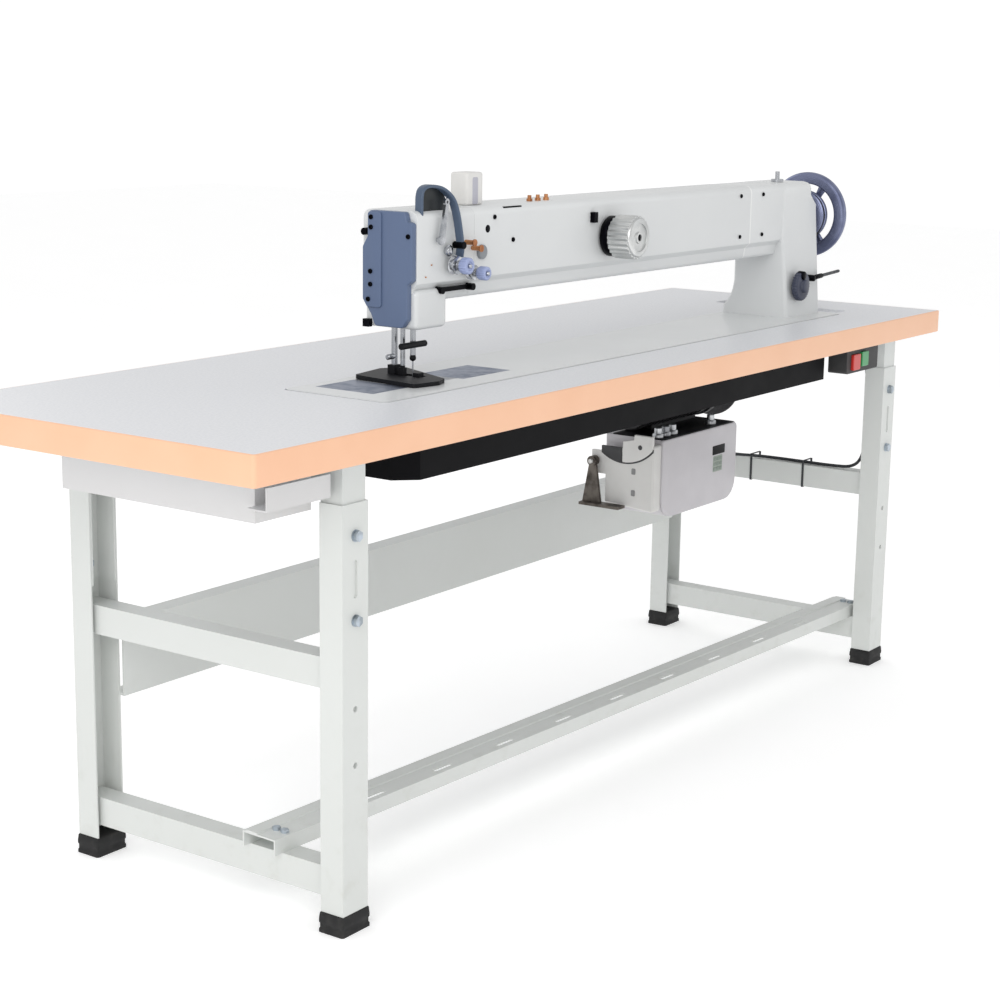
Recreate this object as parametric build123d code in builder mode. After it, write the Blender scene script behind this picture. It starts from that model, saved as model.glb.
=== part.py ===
from build123d import *
import os
from math import atan2, cos, degrees, hypot, radians, sin, tan

os.makedirs("parts", exist_ok=True)

# Long-arm walking-foot sewing machine on a steel stand, in millimetres.
# +X runs from the needle to the handwheel, -Y is the operator's side, +Z is up.
# The origin is on the floor under the middle of the table top.

# Table
TABLE_LENGTH = 1915.0
TABLE_DEPTH = 588.0
TABLE_TOP = 680.0
TABLE_THICKNESS = 40.0
TABLE_UNDER = TABLE_TOP - TABLE_THICKNESS
BAND_THICKNESS = 2.5
BAND_CORNER = 6.0

# Stand
LEG_X = {"left": -714.0, "right": 862.0}
LEG_FACE = {"front": (-242.0, 1), "rear": (251.0, -1)}
LEG_WIDTH = 51.0
LEG_DEPTH = 38.0
LEG_WALL = 2.5
LEG_TOP = 577.0
FOOT_HEIGHT = 28.0
POST_BOTTOM = 400.0
POST_PLAY = 0.3
BOLT_HEIGHTS = (424.0, 535.0)
SPARE_HOLES = (230.0, 306.0)
SLOT_HEIGHT = 478.0
RAIL_WIDTH = 34.0
RAIL_HEIGHT = 42.0
MID_RAIL = 330.0
LOWER_RAIL = 46.0
TOP_BAR_HEIGHT = 35.0
BEAM = (230.0, 340.0)
FOOT_BAR_ENDS = ((-744.0, -100.0), (884.0, -168.0))
FOOT_BAR_WIDTH = 60.0
FOOT_BAR_HEIGHT = 22.0

# Machine head
BED_X = (-575.0, 770.0)
BED_Y = (-178.0, 0.0)
BED_TOP = 681.0
HEAD_FRONT = -120.0
HEAD_BACK = -25.0
ARM_TOP = 921.0
ARM_UNDER = 793.0
COLUMN_LEFT = 635.0
JOINT_X = 520.0
HEAD_RIGHT = -300.0
HEAD_LEFT = -433.0
HEAD_BOTTOM = 757.0
WALL = 7.0
SHAFT_Y = -75.0
SHAFT_Z = 855.0
SHAFT_R = 9.0
HOOK_Y = -84.0
HOOK_Z = 655.0
NEEDLE_X = -395.0
NEEDLE_Y = -84.0
RUN_GAP = 0.3

# Drive
MOTOR_Y = 95.0
MOTOR_Z = 525.0
MOTOR_R = 52.0
BELT_X = 804.0
BELT_WIDTH = 8.0
BOX_X = (430.0, 700.0)
BOX_Y = (-10.0, 110.0)
BOX_Z = (325.0, 469.0)


def span_box(x, y, z, mode=Mode.ADD):
    """Box between three pairs of limits."""
    with Locations(((x[0] + x[1]) / 2, (y[0] + y[1]) / 2, (z[0] + z[1]) / 2)):
        Box(abs(x[1] - x[0]), abs(y[1] - y[0]), abs(z[1] - z[0]), mode=mode)


def rod(start, direction, radius, length, mode=Mode.ADD):
    """Cylinder from a start point along a direction."""
    with Locations(Plane(start, z_dir=direction)):
        Cylinder(radius, length, align=(Align.CENTER, Align.CENTER, Align.MIN), mode=mode)


def save(piece, name):
    """Label a finished piece and write its file."""
    piece.part.label = name
    export_step(piece.part, f"parts/{name}.step")


# ---------------------------------------------------------------- stand

# Outer legs: folded channels, web outwards, with bolt holes and an adjusting slot.
for side, leg_x in LEG_X.items():
    for end, (face, inward) in LEG_FACE.items():
        with BuildPart() as leg:
            with BuildSketch(Plane.XY.offset(FOOT_HEIGHT)):
                with Locations((leg_x, face + inward * LEG_DEPTH / 2)):
                    Rectangle(LEG_WIDTH, LEG_DEPTH)
                with Locations((leg_x, face + inward * (LEG_DEPTH + LEG_WALL) / 2)):
                    Rectangle(LEG_WIDTH - 2 * LEG_WALL, LEG_DEPTH - LEG_WALL, mode=Mode.SUBTRACT)
            extrude(amount=LEG_TOP - FOOT_HEIGHT)
            with BuildSketch(Plane.XZ.offset(-face)):
                with Locations(*[(leg_x, height) for height in BOLT_HEIGHTS + SPARE_HOLES]):
                    Circle(4.3)
                with Locations((leg_x, SLOT_HEIGHT)):
                    SlotOverall(50, 8, rotation=90)
            extrude(amount=-inward * LEG_WALL, mode=Mode.SUBTRACT)
        save(leg, f"{end}_{side}_leg")

# Upper frames: two inner channels and a top tube welded together, sliding in the legs.
for side, leg_x in LEG_X.items():
    with BuildPart() as upper_frame:
        for face, inward in LEG_FACE.values():
            post_face = face + inward * LEG_WALL
            post_width = LEG_WIDTH - 2 * LEG_WALL - 2 * POST_PLAY
            post_depth = LEG_DEPTH - LEG_WALL
            with BuildSketch(Plane.XY.offset(POST_BOTTOM)):
                with Locations((leg_x, post_face + inward * post_depth / 2)):
                    Rectangle(post_width, post_depth)
                with Locations((leg_x, post_face + inward * (post_depth + LEG_WALL) / 2)):
                    Rectangle(post_width - 2 * LEG_WALL, post_depth - LEG_WALL, mode=Mode.SUBTRACT)
            extrude(amount=TABLE_UNDER - POST_BOTTOM)
            with BuildSketch(Plane.XZ.offset(-post_face)):
                with Locations(*[(leg_x, height) for height in BOLT_HEIGHTS]):
                    Circle(4.3)
            extrude(amount=-inward * LEG_WALL, mode=Mode.SUBTRACT)
        bar_y = [face + inward * 2 * LEG_WALL for face, inward in LEG_FACE.values()]
        with BuildSketch(Plane.XZ.offset(-bar_y[1])):
            with Locations((leg_x, TABLE_UNDER - TOP_BAR_HEIGHT / 2)):
                Rectangle(40, TOP_BAR_HEIGHT)
                Rectangle(35, TOP_BAR_HEIGHT - 5, mode=Mode.SUBTRACT)
        extrude(amount=bar_y[1] - bar_y[0])
    save(upper_frame, f"{side}_upper_frame")

# Side rails: tubes welded to the webs of the legs.
leg_inside = {end: face + inward * LEG_WALL for end, (face, inward) in LEG_FACE.items()}
bar_dx = FOOT_BAR_ENDS[1][0] - FOOT_BAR_ENDS[0][0]
bar_dy = FOOT_BAR_ENDS[1][1] - FOOT_BAR_ENDS[0][1]
bar_length = hypot(bar_dx, bar_dy)
bar_angle = degrees(atan2(bar_dy, bar_dx))
bar_top = LOWER_RAIL + RAIL_HEIGHT + FOOT_BAR_HEIGHT
bar_bolts = []
for leg_x in LEG_X.values():
    along = (leg_x - FOOT_BAR_ENDS[0][0]) / cos(radians(bar_angle))
    for across in (-19.0, -4.0):
        bolt_x = leg_x - across * sin(radians(bar_angle))
        bolt_y = FOOT_BAR_ENDS[0][1] + along * sin(radians(bar_angle)) + across
        bar_bolts.append((bolt_x, bolt_y))
for side, leg_x in LEG_X.items():
    for level, base in (("mid", MID_RAIL), ("lower", LOWER_RAIL)):
        with BuildPart() as rail:
            with BuildSketch(Plane.XZ.offset(-leg_inside["rear"])):
                with Locations((leg_x, base + RAIL_HEIGHT / 2)):
                    Rectangle(RAIL_WIDTH, RAIL_HEIGHT)
                    Rectangle(RAIL_WIDTH - 4, RAIL_HEIGHT - 4, mode=Mode.SUBTRACT)
            extrude(amount=leg_inside["rear"] - leg_inside["front"])
            if level == "lower":
                with BuildSketch(Plane.XY.offset(base + RAIL_HEIGHT)):
                    with Locations(*[spot for spot in bar_bolts if abs(spot[0] - leg_x) < 20]):
                        Circle(3.3)
                extrude(amount=-2.0, mode=Mode.SUBTRACT)
        save(rail, f"{side}_{level}_rail")

# Rear beam: deep sheet channel between the rear legs, web to the front.
beam_x = (LEG_X["left"] + LEG_WIDTH / 2, LEG_X["right"] - LEG_WIDTH / 2)
with BuildPart() as rear_beam:
    with BuildSketch(Plane.YZ.offset(beam_x[0])):
        with Locations((221.5, sum(BEAM) / 2)):
            Rectangle(33, BEAM[1] - BEAM[0])
        with Locations((223, sum(BEAM) / 2)):
            Rectangle(30, BEAM[1] - BEAM[0] - 6, mode=Mode.SUBTRACT)
    extrude(amount=beam_x[1] - beam_x[0])
save(rear_beam, "rear_beam")

# Foot bar: pressed hat channel across the lower rails, set slightly askew, with adjusting slots.
bar_plane = Plane(
    (FOOT_BAR_ENDS[0][0], FOOT_BAR_ENDS[0][1], LOWER_RAIL + RAIL_HEIGHT),
    x_dir=(-sin(radians(bar_angle)), cos(radians(bar_angle)), 0),
    z_dir=(cos(radians(bar_angle)), sin(radians(bar_angle)), 0),
)
with BuildPart() as foot_bar:
    with BuildSketch(bar_plane):
        with Locations((0, FOOT_BAR_HEIGHT / 2)):
            Rectangle(FOOT_BAR_WIDTH, FOOT_BAR_HEIGHT)
        with Locations((14, FOOT_BAR_HEIGHT + 1)):
            Trapezoid(22, 2, 60)
        with Locations((0, FOOT_BAR_HEIGHT / 2 - 1.25)):
            Rectangle(FOOT_BAR_WIDTH - 5, FOOT_BAR_HEIGHT - 2.5, mode=Mode.SUBTRACT)
    extrude(amount=bar_length)
    with BuildSketch(Plane.XY.offset(bar_top + 3)):
        with Locations(*bar_bolts):
            Circle(3.3)
    extrude(amount=-8, mode=Mode.SUBTRACT)
    with BuildSketch(Plane.XY.offset(bar_top + 3)):
        with Locations(Location((70, sum(bar_end[1] for bar_end in FOOT_BAR_ENDS) / 2 - 16), bar_angle)):
            with GridLocations(150, 1, 9, 1):
                SlotOverall(42, 8)
    extrude(amount=-8, mode=Mode.SUBTRACT)
save(foot_bar, "foot_bar")

# Rubber feet: one moulded block under each leg.
foot_spots = [
    (leg_x, face + inward * LEG_DEPTH / 2)
    for leg_x in LEG_X.values()
    for face, inward in LEG_FACE.values()
]
with BuildPart() as rubber_feet:
    with BuildSketch():
        with Locations(*foot_spots):
            RectangleRounded(58, 43, 3)
    extrude(amount=FOOT_HEIGHT)
    chamfer(rubber_feet.faces().filter_by(Axis.Z).sort_by(Axis.Z)[0:4].edges(), 1.5)
save(rubber_feet, "rubber_feet")

# Stand bolts: bolt, washer and nut through each leg and post, and two through each end of the foot bar.
with BuildPart() as stand_bolts:
    for leg_x in LEG_X.values():
        for face, inward in LEG_FACE.values():
            for height in BOLT_HEIGHTS:
                outwards = (0, -inward, 0)
                inwards = (0, inward, 0)
                rod((leg_x, face, height), outwards, 8, 1.6)
                rod((leg_x, face, height), inwards, 4, 14)
                with BuildSketch(Plane((leg_x, face - inward * 1.6, height), z_dir=outwards)):
                    RegularPolygon(7.5, 6)
                extrude(amount=5.3)
                with BuildSketch(Plane((leg_x, face + inward * 2 * LEG_WALL, height), z_dir=inwards)):
                    RegularPolygon(7.5, 6)
                extrude(amount=6.5)
    with BuildSketch(Plane.XY.offset(bar_top)):
        with Locations(*bar_bolts):
            RegularPolygon(6, 6)
    extrude(amount=4.5)
    with BuildSketch(Plane.XY.offset(bar_top)):
        with Locations(*bar_bolts):
            Circle(3)
    extrude(amount=-32)
save(stand_bolts, "stand_bolts")

# ---------------------------------------------------------------- table

CORE_LENGTH = TABLE_LENGTH - 2 * BAND_THICKNESS
CORE_DEPTH = TABLE_DEPTH - 2 * BAND_THICKNESS
CUTOUT_GAP = 2.0
BELT_SLOT = ((784.0, 826.0), (-165.0, 95.0))

# Table top: laminated board with the cutout for the bed and the slot for the belt.
with BuildPart() as table_top:
    with BuildSketch(Plane.XY.offset(TABLE_UNDER)):
        RectangleRounded(CORE_LENGTH, CORE_DEPTH, BAND_CORNER - BAND_THICKNESS)
        with Locations((sum(BED_X) / 2, sum(BED_Y) / 2)):
            RectangleRounded(
                BED_X[1] - BED_X[0] + 2 * CUTOUT_GAP,
                BED_Y[1] - BED_Y[0] + 2 * CUTOUT_GAP,
                12,
                mode=Mode.SUBTRACT,
            )
        with Locations((sum(BELT_SLOT[0]) / 2, sum(BELT_SLOT[1]) / 2)):
            RectangleRounded(
                BELT_SLOT[0][1] - BELT_SLOT[0][0],
                BELT_SLOT[1][1] - BELT_SLOT[1][0],
                8,
                mode=Mode.SUBTRACT,
            )
    extrude(amount=TABLE_THICKNESS)
save(table_top, "table_top")

# Edge band: coloured plastic strip glued round the board.
with BuildPart() as edge_band:
    with BuildSketch(Plane.XY.offset(TABLE_UNDER)):
        RectangleRounded(TABLE_LENGTH, TABLE_DEPTH, BAND_CORNER)
        RectangleRounded(CORE_LENGTH, CORE_DEPTH, BAND_CORNER - BAND_THICKNESS, mode=Mode.SUBTRACT)
    extrude(amount=TABLE_THICKNESS)
save(edge_band, "edge_band")

# Bed supports: flat steel bars under the cutout that carry the bed casting.
with BuildPart() as bed_supports:
    for bar_x in (-480, 60, 540, 720):
        span_box((bar_x - 15, bar_x + 15), (-205, 25), (TABLE_UNDER - 6, TABLE_UNDER))
save(bed_supports, "bed_supports")

# Oil pan: black sheet tray under the bed, its ends clipped at the corners.
PAN_X = (-625.0, 585.0)
PAN_Y = (-255.0, 30.0)
PAN_BOTTOM = 590.0
PAN_CLIP = 27.0
PAN_WALL = 2.0
with BuildPart() as oil_pan:
    with BuildSketch(Plane.XY.offset(PAN_BOTTOM)) as pan_outline:
        with BuildLine():
            Polyline(
                (PAN_X[0] + PAN_CLIP, PAN_Y[0]),
                (PAN_X[1] - PAN_CLIP, PAN_Y[0]),
                (PAN_X[1], PAN_Y[0] + PAN_CLIP),
                (PAN_X[1], PAN_Y[1]),
                (PAN_X[0], PAN_Y[1]),
                (PAN_X[0], PAN_Y[0] + PAN_CLIP),
                close=True,
            )
        make_face()
    extrude(amount=TABLE_UNDER - PAN_BOTTOM)
    offset(amount=-PAN_WALL, openings=oil_pan.faces().sort_by(Axis.Z)[-1])
save(oil_pan, "oil_pan")

# Drawer: folded steel tray with a rim that hangs in the runners and a front pull.
DRAWER_X = (-852.0, -748.0)
DRAWER_Y = (-198.0, 140.0)
DRAWER_Z = (568.0, 630.0)
DRAWER_WALL = 2.0
with BuildPart() as drawer:
    span_box(DRAWER_X, DRAWER_Y, DRAWER_Z)
    span_box(
        (DRAWER_X[0] + DRAWER_WALL, DRAWER_X[1] - DRAWER_WALL),
        (DRAWER_Y[0] + DRAWER_WALL, DRAWER_Y[1] - DRAWER_WALL),
        (DRAWER_Z[0] + DRAWER_WALL, DRAWER_Z[1]),
        mode=Mode.SUBTRACT,
    )
    for rim in ((DRAWER_X[0] - 4, DRAWER_X[0] + 1), (DRAWER_X[1] - 1, DRAWER_X[1] + 4)):
        span_box(rim, (-190, DRAWER_Y[1]), (DRAWER_Z[1] - 2, DRAWER_Z[1]))
    span_box((-866, DRAWER_X[1]), (-230, DRAWER_Y[0] + 1), (588, 590))
    span_box((-866, DRAWER_X[1]), (-230, -228), (588, 618))
save(drawer, "drawer")

# Drawer runners: a pair of angles screwed under the table.
with BuildPart() as drawer_runners:
    for wall, ledge in (((-861, -859), (-861, -852.5)), ((-743.5, -741.5), (-747.5, -741.5))):
        span_box(wall, (-188, 140), (624, TABLE_UNDER))
        span_box(ledge, (-188, 140), (624, 627.7))
save(drawer_runners, "drawer_runners")

# ---------------------------------------------------------------- switch and drive

SWITCH_X = (592.0, 717.0)
SWITCH_Y = (-282.0, -246.0)
SWITCH_Z = (597.0, TABLE_UNDER)
BUTTONS = {"stop_button": (624.0, 616.0, 14.0), "start_button": (657.0, 619.0, 13.0)}

# Switch box: moulded case under the front edge with wells for the two buttons.
with BuildPart() as switch_box:
    with BuildSketch(Plane.XZ.offset(-SWITCH_Y[1])):
        with Locations((sum(SWITCH_X) / 2, sum(SWITCH_Z) / 2)):
            RectangleRounded(SWITCH_X[1] - SWITCH_X[0], SWITCH_Z[1] - SWITCH_Z[0], 4)
    extrude(amount=SWITCH_Y[1] - SWITCH_Y[0])
    with BuildSketch(Plane.XZ.offset(-SWITCH_Y[0])):
        for button_x, button_z, half in BUTTONS.values():
            with Locations((button_x, button_z)):
                RectangleRounded(2 * half + 1, 2 * half + 1, 3)
    extrude(amount=-14, mode=Mode.SUBTRACT)
save(switch_box, "switch_box")

# Push buttons: square caps that travel 4 mm into the box.
for name, (button_x, button_z, half) in BUTTONS.items():
    with BuildPart() as button:
        with BuildSketch(Plane.XZ.offset(-SWITCH_Y[0] - 8)):
            with Locations((button_x, button_z)):
                RectangleRounded(2 * half, 2 * half, 2.5)
        extrude(amount=13)
        fillet(button.faces().sort_by(Axis.Y)[0].edges(), 1.5)
    save(button, name)

# Control box: painted casing with rounded lower edges; cable glands on its lid and right side.
LEAD_EXIT = (BOX_X[1], 70.0, 392.0)
LEAD_R = 3.0
with BuildPart() as control_box:
    with BuildSketch(Plane.XZ.offset(-BOX_Y[1])):
        with Locations((sum(BOX_X) / 2, sum(BOX_Z) / 2)):
            Rectangle(BOX_X[1] - BOX_X[0], BOX_Z[1] - BOX_Z[0])
    extrude(amount=BOX_Y[1] - BOX_Y[0] - 6)
    fillet(control_box.edges().filter_by(Axis.Y).group_by(Axis.Z)[0], 38)
    for gland_x in (450, 476, 500, 640):
        rod((gland_x, 14, BOX_Z[1]), (0, 0, 1), 9, 8)
        rod((gland_x, 14, BOX_Z[1] + 8), (0, 0, 1), 6.5, 9)
    rod(LEAD_EXIT, (1, 0, 0), 7, 10)
    rod(LEAD_EXIT, (1, 0, 0), LEAD_R, 10, mode=Mode.SUBTRACT)
save(control_box, "control_box")

# Control panel: front cover of the box with a raised display window and key field.
with BuildPart() as control_panel:
    with BuildSketch(Plane.XZ.offset(-BOX_Y[0] - 6)):
        with Locations((sum(BOX_X) / 2, sum(BOX_Z) / 2)):
            Rectangle(BOX_X[1] - BOX_X[0], BOX_Z[1] - BOX_Z[0])
    extrude(amount=6)
    fillet(control_panel.edges().filter_by(Axis.Y).group_by(Axis.Z)[0], 38)
    chamfer(control_panel.faces().sort_by(Axis.Y)[0].edges(), 2.5)
    span_box((612, 664), (BOX_Y[0] - 1.2, BOX_Y[0]), (424, 447))
    for key_row in range(3):
        for key_column in range(3):
            key_x = 616 + 16 * key_column
            key_z = 384 + 13 * key_row
            span_box((key_x, key_x + 11), (BOX_Y[0] - 1.5, BOX_Y[0]), (key_z, key_z + 8))
save(control_panel, "control_panel")

LEVER_Y = 114.0
LEVER_Z = 424.0

# End cover: white cover on the left end of the box, over the lever sensor.
with BuildPart() as end_cover:
    with BuildSketch(Plane.YZ.offset(404)):
        with BuildLine():
            Polyline((-6, 340), (96, 348), (96, 440), (40, 440), (22, 462), (-6, 462), close=True)
        make_face()
    extrude(amount=BOX_X[0] - 404)
    fillet(end_cover.edges().filter_by(Axis.X), 5)
    chamfer(end_cover.faces().sort_by(Axis.X)[0].edges(), 3)
    rod((382, LEVER_Y, LEVER_Z), (1, 0, 0), 4, 26)
    span_box((404, BOX_X[0]), (92, 109), (400, 442))
    span_box((404, 410), (98, 124), (400, 442))
save(end_cover, "end_cover")

# Motor: finned round body with end flange, foot on top and neck down to the control box.
with BuildPart() as motor_body:
    rod((470, MOTOR_Y, MOTOR_Z), (1, 0, 0), MOTOR_R, 240)
    rod((710, MOTOR_Y, MOTOR_Z), (1, 0, 0), MOTOR_R + 4, 14)
    for fin in range(14):
        with Locations(Plane((486 + 15 * fin, MOTOR_Y, MOTOR_Z), z_dir=(1, 0, 0))):
            Cylinder(MOTOR_R + 3, 4)
    span_box((540, 690), (75, 115), (MOTOR_Z + 30, 585))
    span_box((520, 680), (70, 108), (BOX_Z[1], MOTOR_Z - 30))
    rod((776, MOTOR_Y, MOTOR_Z), (1, 0, 0), 64, 4)
    for arm_y in (-26, 26):
        rod((724, MOTOR_Y + arm_y, MOTOR_Z - 26), (1, 0, 0), 5, 52)
    rod((700, MOTOR_Y, MOTOR_Z), (1, 0, 0), 8 + RUN_GAP, 80, mode=Mode.SUBTRACT)
save(motor_body, "motor_body")

# Motor bracket: folded plate between the motor's foot and the underside of the table.
with BuildPart() as motor_bracket:
    span_box((530, 700), (60, 180), (TABLE_UNDER - 6, TABLE_UNDER))
    span_box((530, 700), (70, 120), (585, 590))
    for web_x in (530, 694):
        span_box((web_x, web_x + 6), (70, 120), (585, TABLE_UNDER))
save(motor_bracket, "motor_bracket")

# Motor shaft with its grooved pulley.
PULLEY_R = 34.0
with BuildPart() as motor_pulley:
    rod((702, MOTOR_Y, MOTOR_Z), (1, 0, 0), 8, 114)
    rod((BELT_X - 9, MOTOR_Y, MOTOR_Z), (1, 0, 0), PULLEY_R + 6, 18)
    with BuildSketch(Plane.YZ.offset(BELT_X - 5)):
        with Locations((MOTOR_Y, MOTOR_Z)):
            Circle(PULLEY_R + 7)
            Circle(PULLEY_R, mode=Mode.SUBTRACT)
    extrude(amount=10, mode=Mode.SUBTRACT)
save(motor_pulley, "motor_pulley")

# Speed lever: hangs from its pivot at the left end, with a foot plate for the pedal rod.
with BuildPart() as speed_lever:
    rod((386, LEVER_Y, LEVER_Z), (1, 0, 0), 9, 14)
    with BuildSketch(Plane.YZ.offset(390)):
        with BuildLine():
            Polyline((LEVER_Y - 6, LEVER_Z), (96, 348), (134, 348), (LEVER_Y + 6, LEVER_Z), close=True)
        make_face()
    extrude(amount=6)
    span_box((378, 402), (50, 134), (343, 348))
    rod((386, LEVER_Y, LEVER_Z), (1, 0, 0), 4 + RUN_GAP, 14, mode=Mode.SUBTRACT)
save(speed_lever, "speed_lever")


# Drive belt: from the motor pulley up through the table to the handwheel pulley.
BELT_THICKNESS = 5.5
WHEEL_PULLEY_R = 38.0
BELT_WHEELS = ((MOTOR_Y, MOTOR_Z, PULLEY_R + RUN_GAP), (SHAFT_Y, SHAFT_Z, WHEEL_PULLEY_R + RUN_GAP))
with BuildPart() as drive_belt:
    for grow, mode in ((BELT_THICKNESS, Mode.ADD), (0, Mode.SUBTRACT)):
        with BuildSketch(Plane.YZ.offset(BELT_X - BELT_WIDTH / 2)):
            for wheel_y, wheel_z, wheel_radius in BELT_WHEELS:
                with Locations((wheel_y, wheel_z)):
                    Circle(wheel_radius + grow)
            make_hull()
        extrude(amount=BELT_WIDTH, mode=mode)
save(drive_belt, "drive_belt")

# ---------------------------------------------------------------- lead

LEAD_POINTS = [
    LEAD_EXIT,
    (760, 72, 389),
    (822, 60, 380),
    (859, 18, 375.8),
    (862, -55, 375.4),
    (859, -135, 375.5),
    (861, -180, 378),
    (862, -198, 406),
    (863, -199, 470),
    (861, -198, 540),
    (853, -197, 582),
    (818, -199, 598),
    (778, -226, 612),
    (745, -258, 620),
    (SWITCH_X[1], -264, 621),
]


def lead_radii(points):
    """Fillet radius at each corner: 0.45 of the shorter run over the tangent of half the turn."""
    radii = []
    for before, corner, after in zip(points, points[1:], points[2:]):
        run_in = Vector(*corner) - Vector(*before)
        run_out = Vector(*after) - Vector(*corner)
        half_turn = radians(run_in.get_angle(run_out)) / 2
        radii.append(0.45 * min(run_in.length, run_out.length) / tan(half_turn))
    return radii


LEAD_RADII = lead_radii(LEAD_POINTS)
print("lead radii", [round(radius) for radius in LEAD_RADII])

# Switch lead: round cable from the control box, along the mid rail and up the leg.
with BuildPart() as switch_lead:
    with BuildLine() as lead_route:
        FilletPolyline(*LEAD_POINTS, radius=LEAD_RADII)
    with BuildSketch(Plane(LEAD_POINTS[0], z_dir=Vector(*LEAD_POINTS[1]) - Vector(*LEAD_POINTS[0]))):
        Circle(LEAD_R)
    sweep(path=lead_route.wires()[0])
print("lead length", round(lead_route.wires()[0].length), "volume", round(switch_lead.part.volume))
save(switch_lead, "switch_lead")

# Lead ties: two plastic straps round the rail and the lead.
with BuildPart() as lead_ties:
    for tie_y in (36, -77):
        with BuildSketch(Plane.XZ.offset(-tie_y)):
            with Locations((LEG_X["right"], (MID_RAIL + 379.5) / 2)):
                Rectangle(RAIL_WIDTH + 3, 379.5 - MID_RAIL + 3)
                Rectangle(RAIL_WIDTH + 0.4, 379.5 - MID_RAIL + 0.4, mode=Mode.SUBTRACT)
        extrude(amount=4)
save(lead_ties, "lead_ties")

# ---------------------------------------------------------------- machine head

PLATE_THICKNESS = 3.0
BED_PLATES = {
    "needle_plate": ((-450.0, -341.0), (-122.0, -20.0)),
    "left_cover_plate": ((-531.0, -450.3), (-122.0, -20.0)),
    "right_cover_plate": ((-340.5, -225.0), (-133.0, -55.0)),
}
HOOK_SHAFT_R = 7.0

# Bed: long casting, open below, with ribs that carry the hook shaft and rebates for the plates.
with BuildPart() as bed:
    with BuildSketch(Plane.XY.offset(TABLE_UNDER)):
        with Locations((sum(BED_X) / 2, sum(BED_Y) / 2)):
            RectangleRounded(BED_X[1] - BED_X[0], BED_Y[1] - BED_Y[0], 10)
    extrude(amount=BED_TOP - TABLE_UNDER)
    span_box(
        (BED_X[0] + WALL, BED_X[1] - WALL),
        (BED_Y[0] + WALL, BED_Y[1] - WALL),
        (TABLE_UNDER, BED_TOP - WALL - 2),
        mode=Mode.SUBTRACT,
    )
    for rib_x in (-330, 0, 300, 600):
        span_box((rib_x, rib_x + 12), (BED_Y[0] + WALL, BED_Y[1] - WALL), (TABLE_UNDER, BED_TOP - WALL))
    for plate_x, plate_y in BED_PLATES.values():
        span_box(
            (plate_x[0] - 0.3, plate_x[1] + 0.2),
            (plate_y[0] - 0.3, plate_y[1] + 0.3),
            (BED_TOP - PLATE_THICKNESS, BED_TOP),
            mode=Mode.SUBTRACT,
        )
        span_box(
            (plate_x[0] + 9, plate_x[1] - 9),
            (plate_y[0] + 9, plate_y[1] - 9),
            (BED_TOP - WALL - 3, BED_TOP),
            mode=Mode.SUBTRACT,
        )
    rod((-335, HOOK_Y, HOOK_Z), (1, 0, 0), HOOK_SHAFT_R + RUN_GAP, 960, mode=Mode.SUBTRACT)
save(bed, "bed")

# Bed plates: needle plate with its needle hole and feed slots, and a plain cover plate each side.
for name, (plate_x, plate_y) in BED_PLATES.items():
    with BuildPart() as bed_plate:
        span_box(plate_x, plate_y, (BED_TOP - PLATE_THICKNESS, BED_TOP))
        chamfer(bed_plate.faces().sort_by(Axis.Z)[-1].edges(), 0.4)
        if name == "needle_plate":
            rod((NEEDLE_X, NEEDLE_Y, BED_TOP - PLATE_THICKNESS), (0, 0, 1), 2.6, 4, mode=Mode.SUBTRACT)
            for slot_y in (NEEDLE_Y - 18, NEEDLE_Y + 18):
                with BuildSketch(Plane.XY.offset(BED_TOP)):
                    with Locations((NEEDLE_X, slot_y)):
                        SlotOverall(22, 5, rotation=90)
                extrude(amount=-PLATE_THICKNESS, mode=Mode.SUBTRACT)
    save(bed_plate, name)

# Hook shaft: runs the length of the bed, with the hook body under the needle plate.
with BuildPart() as hook_shaft:
    rod((-372, HOOK_Y, HOOK_Z), (1, 0, 0), HOOK_SHAFT_R, 1080)
    rod((-391, HOOK_Y, HOOK_Z), (1, 0, 0), 13.5, 24)
    rod((-391, HOOK_Y, HOOK_Z), (1, 0, 0), 9, 15, mode=Mode.SUBTRACT)
    rod((640, HOOK_Y, HOOK_Z), (1, 0, 0), 13, 20)
save(hook_shaft, "hook_shaft")

ARM_OUTLINE = (
    (HEAD_FRONT, 821),
    (HEAD_FRONT, ARM_TOP),
    (HEAD_BACK, ARM_TOP),
    (HEAD_BACK, ARM_UNDER),
    (-109, ARM_UNDER),
    (-112, 814),
)
ARM_CORNER = 13.0

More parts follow.
